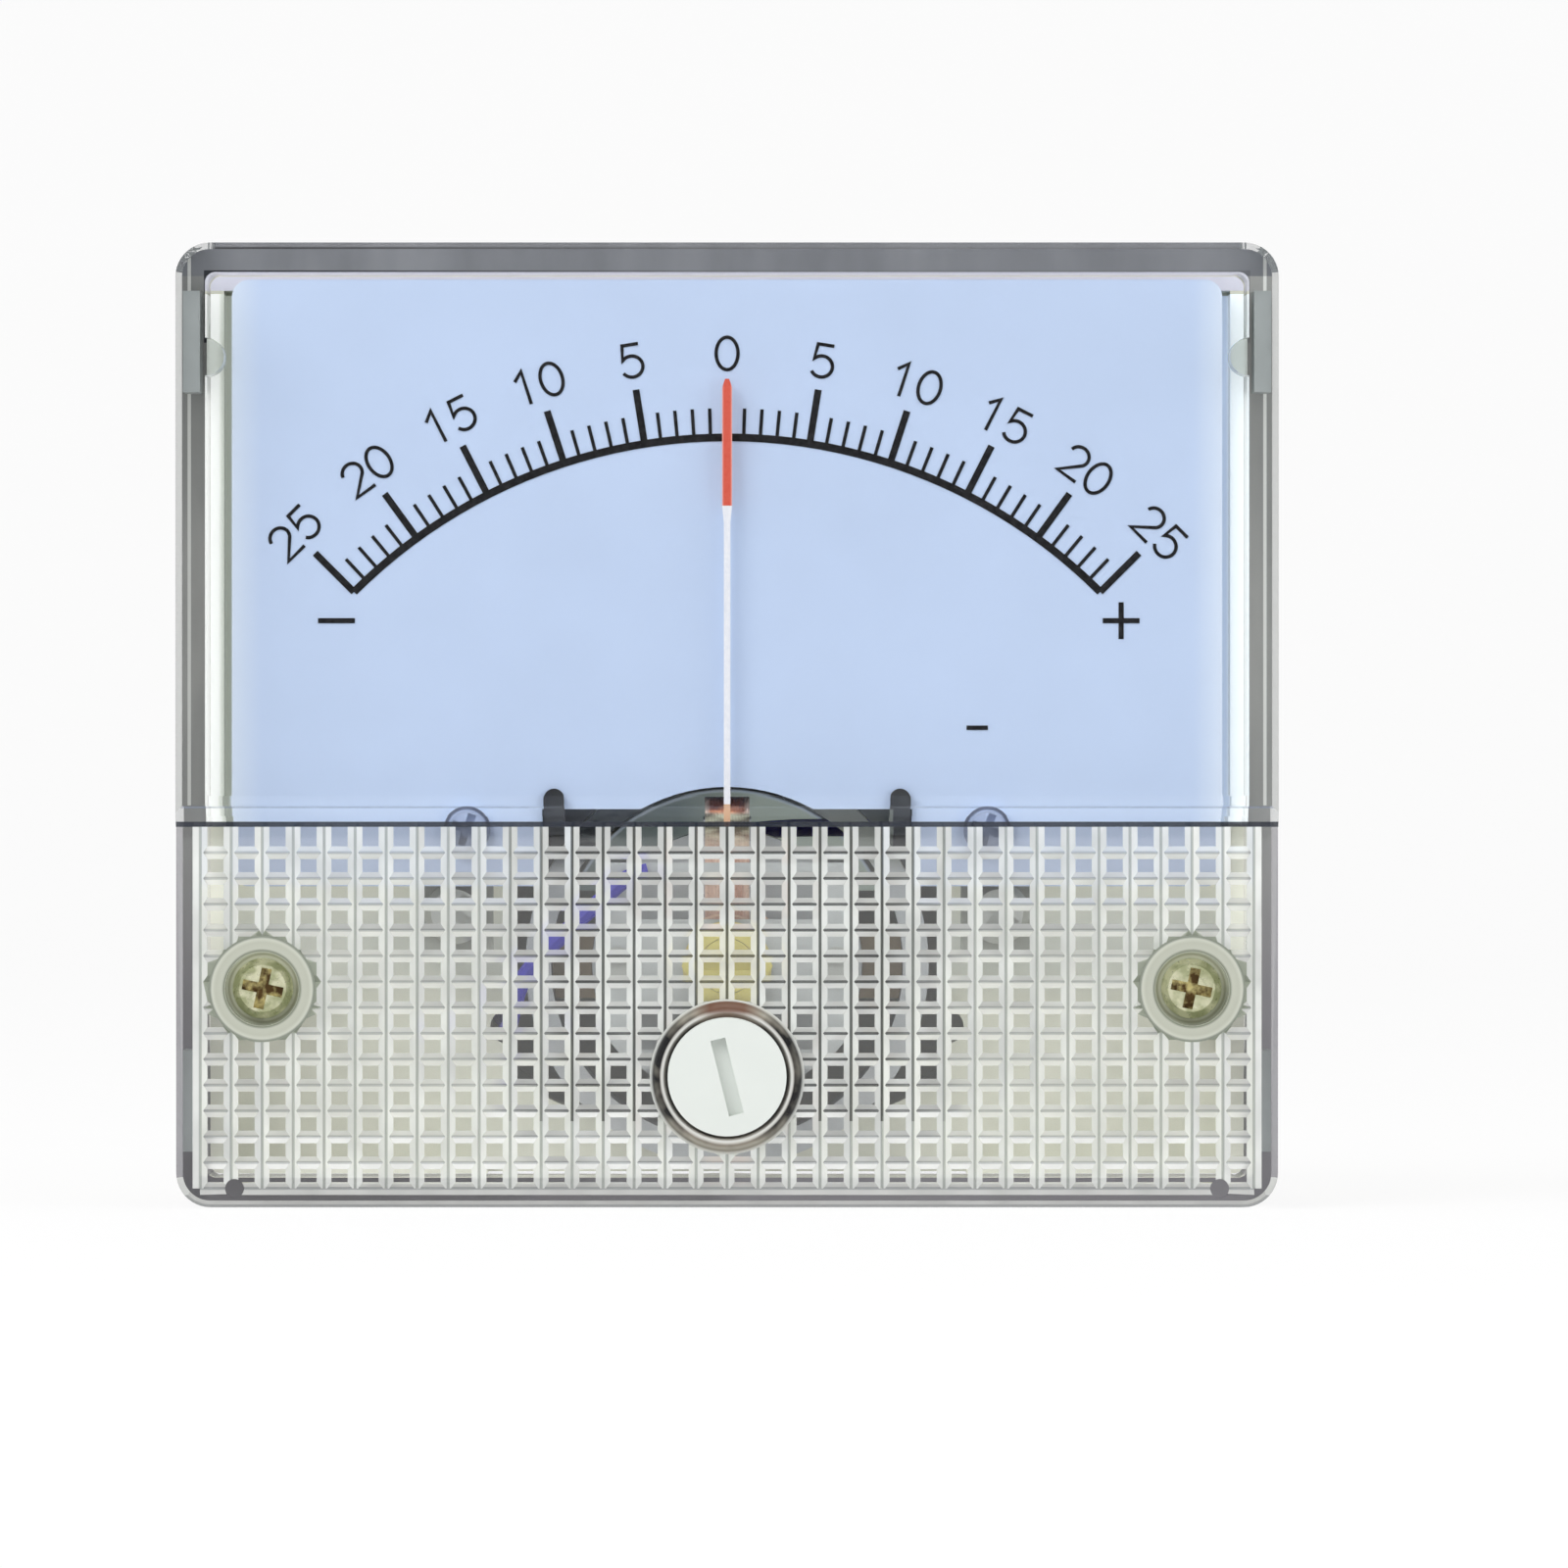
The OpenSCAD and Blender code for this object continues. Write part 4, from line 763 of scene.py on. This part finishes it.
def dial_text(text, centre, turn, height, stroke):
    """Strokes of a number about its centre, turned clockwise."""
    advance, sign_width = 0.80, 0.72
    strokes = []
    width = advance * (len(text) - 1) + sign_width
    for k, sign in enumerate(text):
        for points, closed in SIGNS[sign]:
            placed = []
            for u, v in points:
                du, dv = (u + k * advance - width / 2) * height, (v - 0.5) * height
                placed.append((centre[0] + du * cos(turn) + dv * sin(turn),
                               centre[1] - du * sin(turn) + dv * cos(turn)))
            strokes.append((placed, stroke, closed))
    return strokes


def print_dial():
    """Plain numbers round the arc and the signs of the two ends."""
    label_r, height, stroke = 35.7 * MM, 2.06 * MM, 0.2 * MM
    majors, between = 5, radians(9)
    strokes = []
    for k in range(-majors, majors + 1):
        turn = between * k
        centre = (PIVOT.x + label_r * sin(turn), PIVOT.z + label_r * cos(turn))
        strokes += dial_text(str(abs(k) * 5), centre, turn, height, stroke)
    numerals = print_strokes("scale_numerals", strokes, DIAL_Y - INK, DIAL_Y)
    signs = []
    for sign, x, z, size, weight in (("-", -22.8, 6.1, 2.15, 0.3), ("+", 23.0, 6.1, 2.15, 0.3),
                                     ("-", 14.6, -0.15, 1.25, 0.26)):
        for points, closed in SIGNS[sign]:
            placed = [((x + (u - 0.5) * size) * MM, (z + (v - 0.5) * size) * MM) for u, v in points]
            signs.append((placed, weight * MM, closed))
    # the two bars of the plus lie in two layers, so that their faces don't share a plane
    marks = print_strokes("polarity_signs", signs[:2] + signs[3:], DIAL_Y - INK, DIAL_Y)
    bar = print_strokes("plus_upright", signs[2:3], DIAL_Y - 0.8 * INK, DIAL_Y)
    for obj in (numerals, marks, bar):
        obj.data.materials.append(MATERIALS["scale_ink"])
        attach(obj, "case")


print_dial()


# ---- fine geometry over the plain CAD shapes ----

def add_piece(name, verts, faces, body, slot_name, *stands_for):
    """Smooth piece that is shown in place of the CAD nodes it stands for."""
    obj = mesh_object(name, verts, faces)
    for face in obj.data.polygons:
        face.use_smooth = True
    obj.data.materials.append(MATERIALS[slot_name])
    obj.data.set_sharp_from_angle(angle=radians(32))
    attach(obj, body)
    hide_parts(*stands_for)


def thread_wave(phase, root, crest):
    """Radius at a phase of the V thread, with a flat at the crest and at the root."""
    slope, crest_at = 1.6, 1.3
    height = min(1.0, max(0.0, crest_at - slope * abs(2 * (phase % 1.0) - 1)))
    return root + (crest - root) * height


def stitch(rings, columns):
    """Faces between each ring of vertices and the next; a ring of one vertex closes an end."""
    faces = []
    for a, b in zip(rings, rings[1:]):
        for k in range(columns):
            n = (k + 1) % columns
            if len(a) == 1:
                faces.append((a[0], b[n], b[k]))
            elif len(b) == 1:
                faces.append((a[k], a[n], b[0]))
            else:
                faces.append((a[k], a[n], b[n], b[k]))
    return faces


def turned(x, z, profile, thread):
    """Closed turned shape about an axis along Y. profile is (y, r) in mm from pole to pole; thread is
    (start, end, pitch, root, crest) for the stretch of the profile that is cut."""
    start, end, pitch, root, crest = thread
    columns, rows_a_turn, least_cut = 40, 8, 0.15
    rows = []
    for i, (y, r) in enumerate(profile):
        rows.append((y, r, False))
        if abs(y - start) < 1e-6 and abs(profile[i + 1][0] - end) < 1e-6:
            steps = int((end - start) / pitch * rows_a_turn)
            rows += [(y + (end - y) * (k + 0.5) / steps, r, True) for k in range(steps)]
    verts, rings = [], []
    for y, r, cut in rows:
        if r == 0:
            rings.append([len(verts)])
            verts.append((x, y * MM, z))
            continue
        rings.append(list(range(len(verts), len(verts) + columns)))
        for k in range(columns):
            a = 2 * pi * k / columns
            here = r
            if cut:
                fade = min(1.0, (y - start) / pitch, (end - y) / pitch)
                deep = thread_wave(y / pitch - k / columns, root, crest)
                here = crest + (deep - crest) * max(least_cut, fade)
            verts.append((x + here * MM * cos(a), y * MM, z + here * MM * sin(a)))
    return verts, stitch(rings, columns)


def hex_body(x, z, y0, y1, flats, bore, cut_back):
    """Hexagonal head or nut, its corners turned off in front and, if cut_back, behind too. Bore 0 leaves it
    solid. All in mm but its axis."""
    columns, slope, edge = 48, 0.577, 0.01
    angles = [2 * pi * k / columns for k in range(columns)]
    face_r = [flats / 2 * 0.97] * columns
    hex_r = [flats / 2 / cos((a + pi / 6) % (pi / 3) - pi / 6) for a in angles]
    corner = [(r - face) * slope for r, face in zip(hex_r, face_r)]
    front, back = [y0] * columns, [y1] * columns
    rows = [(front, face_r), ([y0 + c for c in corner], hex_r)]
    if cut_back:
        rows += [([y1 - c for c in corner], hex_r), (back, face_r)]
    else:
        rows += [([y1 - edge] * columns, hex_r), (back, hex_r)]
    if bore:
        rows = [(front, [bore] * columns)] + rows + [(back, [bore] * columns)]
    else:
        rows = [([y0], [0])] + rows + [([y1], [0])]
    verts, rings = [], []
    for depths, radii in rows:
        rings.append(list(range(len(verts), len(verts) + len(radii))))
        for y, r, a in zip(depths, radii, angles):
            verts.append((x + r * MM * cos(a), y * MM, z + r * MM * sin(a)))
    if bore:
        rings.append(rings[0])
    return verts, stitch(rings, columns)


def join(*parts):
    """One mesh of several (verts, faces)."""
    verts, faces = [], []
    for more_verts, more_faces in parts:
        base = len(verts)
        verts += more_verts
        faces += [tuple(i + base for i in face) for face in more_faces]
    return verts, faces


def thread_fittings():
    """Real threads on the studs and terminals, and nuts with turned corners."""
    studs, terminals, clamps, outers = [], [], [], []
    stud_low, stud_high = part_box("mounting_studs")
    front, end = stud_low.y / MM, stud_high.y / MM
    front_r, flange_r, shoulder_r, stud_r = 1.7, 2.2, 1.75, 1.5
    hole_r, hole_y, flange_y, base_y = 1.03, -2.6, -3.2, -2.2
    stud_pitch, stud_root, stud_taper = 0.5, 1.2, 0.3
    term_low, term_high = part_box("terminal_studs")
    head, neck, tip = term_low.y / MM, term_low.y / MM + 3, term_high.y / MM
    term_pitch, term_root, term_r, term_taper = 0.7, 1.62, 2, 0.4
    flats, nut_bore = 7, 2.03
    clamp_low, clamp_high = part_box("terminal_clamp_nuts")
    outer_low, outer_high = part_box("terminal_outer_nuts")
    for side in (-1, 1):
        thread_end = end - stud_taper
        studs.append(turned(side * SCREW_X, SCREW_Z, [
            (hole_y, 0), (hole_y, hole_r), (front, hole_r), (front, front_r), (flange_y, front_r),
            (flange_y, flange_r), (base_y, flange_r), (base_y, shoulder_r), (0, shoulder_r), (0, stud_r),
            (thread_end, stud_r), (end, stud_root), (end, 0)],
            (0, thread_end, stud_pitch, stud_root, stud_r)))
        x, thread_end = side * TERMINAL_X, tip - term_taper
        terminals.append(hex_body(x, 0, head, neck, flats, 0, False))
        terminals.append(turned(x, 0, [
            (neck, 0), (neck, term_r), (thread_end, term_r), (tip, term_r - term_taper), (tip, 0)],
            (neck, thread_end, term_pitch, term_root, term_r)))
        clamps.append(hex_body(x, 0, clamp_low.y / MM, clamp_high.y / MM, flats, nut_bore, True))
        outers.append(hex_body(x, 0, outer_low.y / MM, outer_high.y / MM, flats, nut_bore, True))
    add_piece("threaded_studs", *join(*studs), "case", "stud_nickel", "mounting_studs")
    add_piece("threaded_terminals", *join(*terminals), "case", "terminal_brass", "terminal_studs")
    add_piece("clamp_nuts_turned", *join(*clamps), "case", "terminal_brass", "terminal_clamp_nuts")
    add_piece("outer_nuts_turned", *join(*outers), "case", "terminal_brass", "terminal_outer_nuts")


def wind_coil():
    """The winding as turns lying side by side round the coil's frame."""
    coil_low, coil_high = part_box("coil_winding")
    thick, turns, per_turn, ripple, corner_steps = 1.2 * MM, 15, 6, 0.035 * MM, 8
    y_mid, z_mid = (coil_low.y + coil_high.y) / 2, (coil_low.z + coil_high.z) / 2
    half_y, half_z = (coil_high.y - coil_low.y) / 2 - thick, (coil_high.z - coil_low.z) / 2 - thick
    stations = []
    for i, (sy, sz) in enumerate(((1, 1), (-1, 1), (-1, -1), (1, -1))):
        for k in range(corner_steps + 1):
            a = pi / 2 * (i + k / corner_steps)
            stations.append((y_mid + sy * half_y, z_mid + sz * half_z, cos(a), sin(a)))
    across = turns * per_turn
    width = coil_high.x - coil_low.x
    verts = []
    for n, (y, z, ny, nz) in enumerate(stations):
        for k in range(across + 1):
            f = k / across
            wander = 0.25 * sin(1.7 * n)
            hollow = ripple * (1 - abs(sin(pi * f * turns + wander)))
            r = thick - hollow
            verts.append((coil_low.x + width * f, y + ny * r, z + nz * r))
        verts.append((coil_high.x, y, z))
        verts.append((coil_low.x, y, z))
    ring = across + 3
    faces = []
    for n in range(len(stations)):
        m = (n + 1) % len(stations)
        for k in range(ring):
            j = (k + 1) % ring
            faces.append((n * ring + k, n * ring + j, m * ring + j, m * ring + k))
    add_piece("wound_coil", verts, faces, "moving_coil", "copper_winding", "coil_winding")


thread_fittings()
wind_coil()


# ---- stage, lamps and camera ----

def build_stage():
    """White paper that bends up behind the object; what is seen of it shines a little by itself."""
    floor_z = cad_low.z - 0.1 * MM
    size, back, rise, bend, steps = 3.0, 0.9, 1.6, 0.5, 14
    shine, shine_share = 1.05, 0.82
    profile = [(-size, floor_z), (back, floor_z)]
    for i in range(1, steps + 1):
        a = pi / 2 * i / steps
        profile.append((back + bend * sin(a), floor_z + bend * (1 - cos(a))))
    profile.append((back + bend, rise))
    verts = [(x, y, z) for y, z in profile for x in (-size, size)]
    faces = [(2 * i, 2 * i + 1, 2 * i + 3, 2 * i + 2) for i in range(len(profile) - 1)]
    floor = mesh_object("studio_floor", verts, faces)
    for face in floor.data.polygons:
        face.use_smooth = True
    s = Shader("studio_paper")
    path = s.node("ShaderNodeLightPath")
    seen = s.math("MAXIMUM", path.outputs["Is Camera Ray"],
                  s.math("MAXIMUM", path.outputs["Is Glossy Ray"], path.outputs["Is Transmission Ray"]))
    paper = s.node("ShaderNodeBsdfDiffuse")
    s.link(s.mix(s.span(s.noise(40), 0, 1), (0.86, 0.86, 0.86), (0.88, 0.88, 0.88)), paper.inputs["Color"])
    glow = s.node("ShaderNodeEmission")
    glow.inputs["Strength"].default_value = shine
    blend = s.node("ShaderNodeMixShader")
    s.link(s.math("MULTIPLY", seen, shine_share), blend.inputs[0])
    s.link(paper.outputs[0], blend.inputs[1])
    s.link(glow.outputs[0], blend.inputs[2])
    s.link(blend.outputs[0], s.out.inputs["Surface"])
    floor.data.materials.append(s.mat)


def build_world():
    """A white room that is dark only straight in front of the object, where the viewer stands."""
    room_light = 0.62
    world = bpy.data.worlds.new("studio_world")
    scene.world = world
    world.use_nodes = True
    tree = world.node_tree
    tree.nodes.clear()

    def larger(a, b):
        made = add_node(tree, "ShaderNodeMath", operation="MAXIMUM")
        tree.links.new(a, made.inputs[0])
        tree.links.new(b, made.inputs[1])
        return made.outputs[0]

    def white():
        made = add_node(tree, "ShaderNodeBackground")
        made.inputs["Color"].default_value = (1, 1, 1, 1)
        return made

    path = add_node(tree, "ShaderNodeLightPath").outputs
    seen = larger(path["Is Camera Ray"], larger(path["Is Glossy Ray"], path["Is Transmission Ray"]))
    way = add_node(tree, "ShaderNodeSeparateXYZ")
    tree.links.new(add_node(tree, "ShaderNodeTexCoord").outputs["Generated"], way.inputs[0])
    shown = add_node(tree, "ShaderNodeMapRange", interpolation_type="SMOOTHSTEP")
    for key, value in (("From Min", -0.985), ("From Max", -0.9), ("To Min", 0.02), ("To Max", 1.0)):
        shown.inputs[key].default_value = value
    tree.links.new(way.outputs["Y"], shown.inputs["Value"])
    room, view = white(), white()
    room.inputs["Strength"].default_value = room_light
    tree.links.new(shown.outputs["Result"], view.inputs["Strength"])
    blend = add_node(tree, "ShaderNodeMixShader")
    for i, output in enumerate((seen, room.outputs[0], view.outputs[0])):
        tree.links.new(output, blend.inputs[i])
    tree.links.new(blend.outputs[0], add_node(tree, "ShaderNodeOutputWorld").inputs["Surface"])


def lamp(name, place, aim, size, power):
    """Rectangular lamp at a place, turned to what it lights."""
    data = bpy.data.lights.new(name, "AREA")
    data.shape = "RECTANGLE"
    data.size, data.size_y = size
    data.energy = power
    obj = bpy.data.objects.new(name, data)
    obj.location = place
    obj.rotation_euler = (Vector(aim) - Vector(place)).to_track_quat("-Z", "Y").to_euler()
    scene.collection.objects.link(obj)


def build_camera():
    """Level camera straight in front; the object stands a little left of and above the picture's middle."""
    distance, view_width, sensor = 0.9, 90.9 * MM, 36
    data = bpy.data.cameras.new("camera")
    data.sensor_width = sensor
    data.lens = sensor * distance / view_width
    data.shift_x, data.shift_y = 0.0363, -0.0375
    data.clip_end = 20
    obj = bpy.data.objects.new("camera", data)
    obj.location = (0, cad_low.y - distance, 0)
    obj.rotation_euler = (radians(90), 0, 0)
    scene.collection.objects.link(obj)
    scene.camera = obj


build_stage()
build_world()
lamp("key_lamp", (-0.45, -0.55, 0.55), (0, 0, 0), (0.5, 0.5), 2.6)
lamp("fill_lamp", (0.6, -0.5, 0.25), (0, 0, 0), (0.5, 0.6), 1.2)
build_camera()
scene.view_settings.view_transform = "Standard"
# light dies out inside the clear cover after a few turns; following it longer only costs time
scene.cycles.max_bounces = 9
scene.cycles.diffuse_bounces = 3
scene.cycles.glossy_bounces = 3
scene.cycles.transmission_bounces = 9
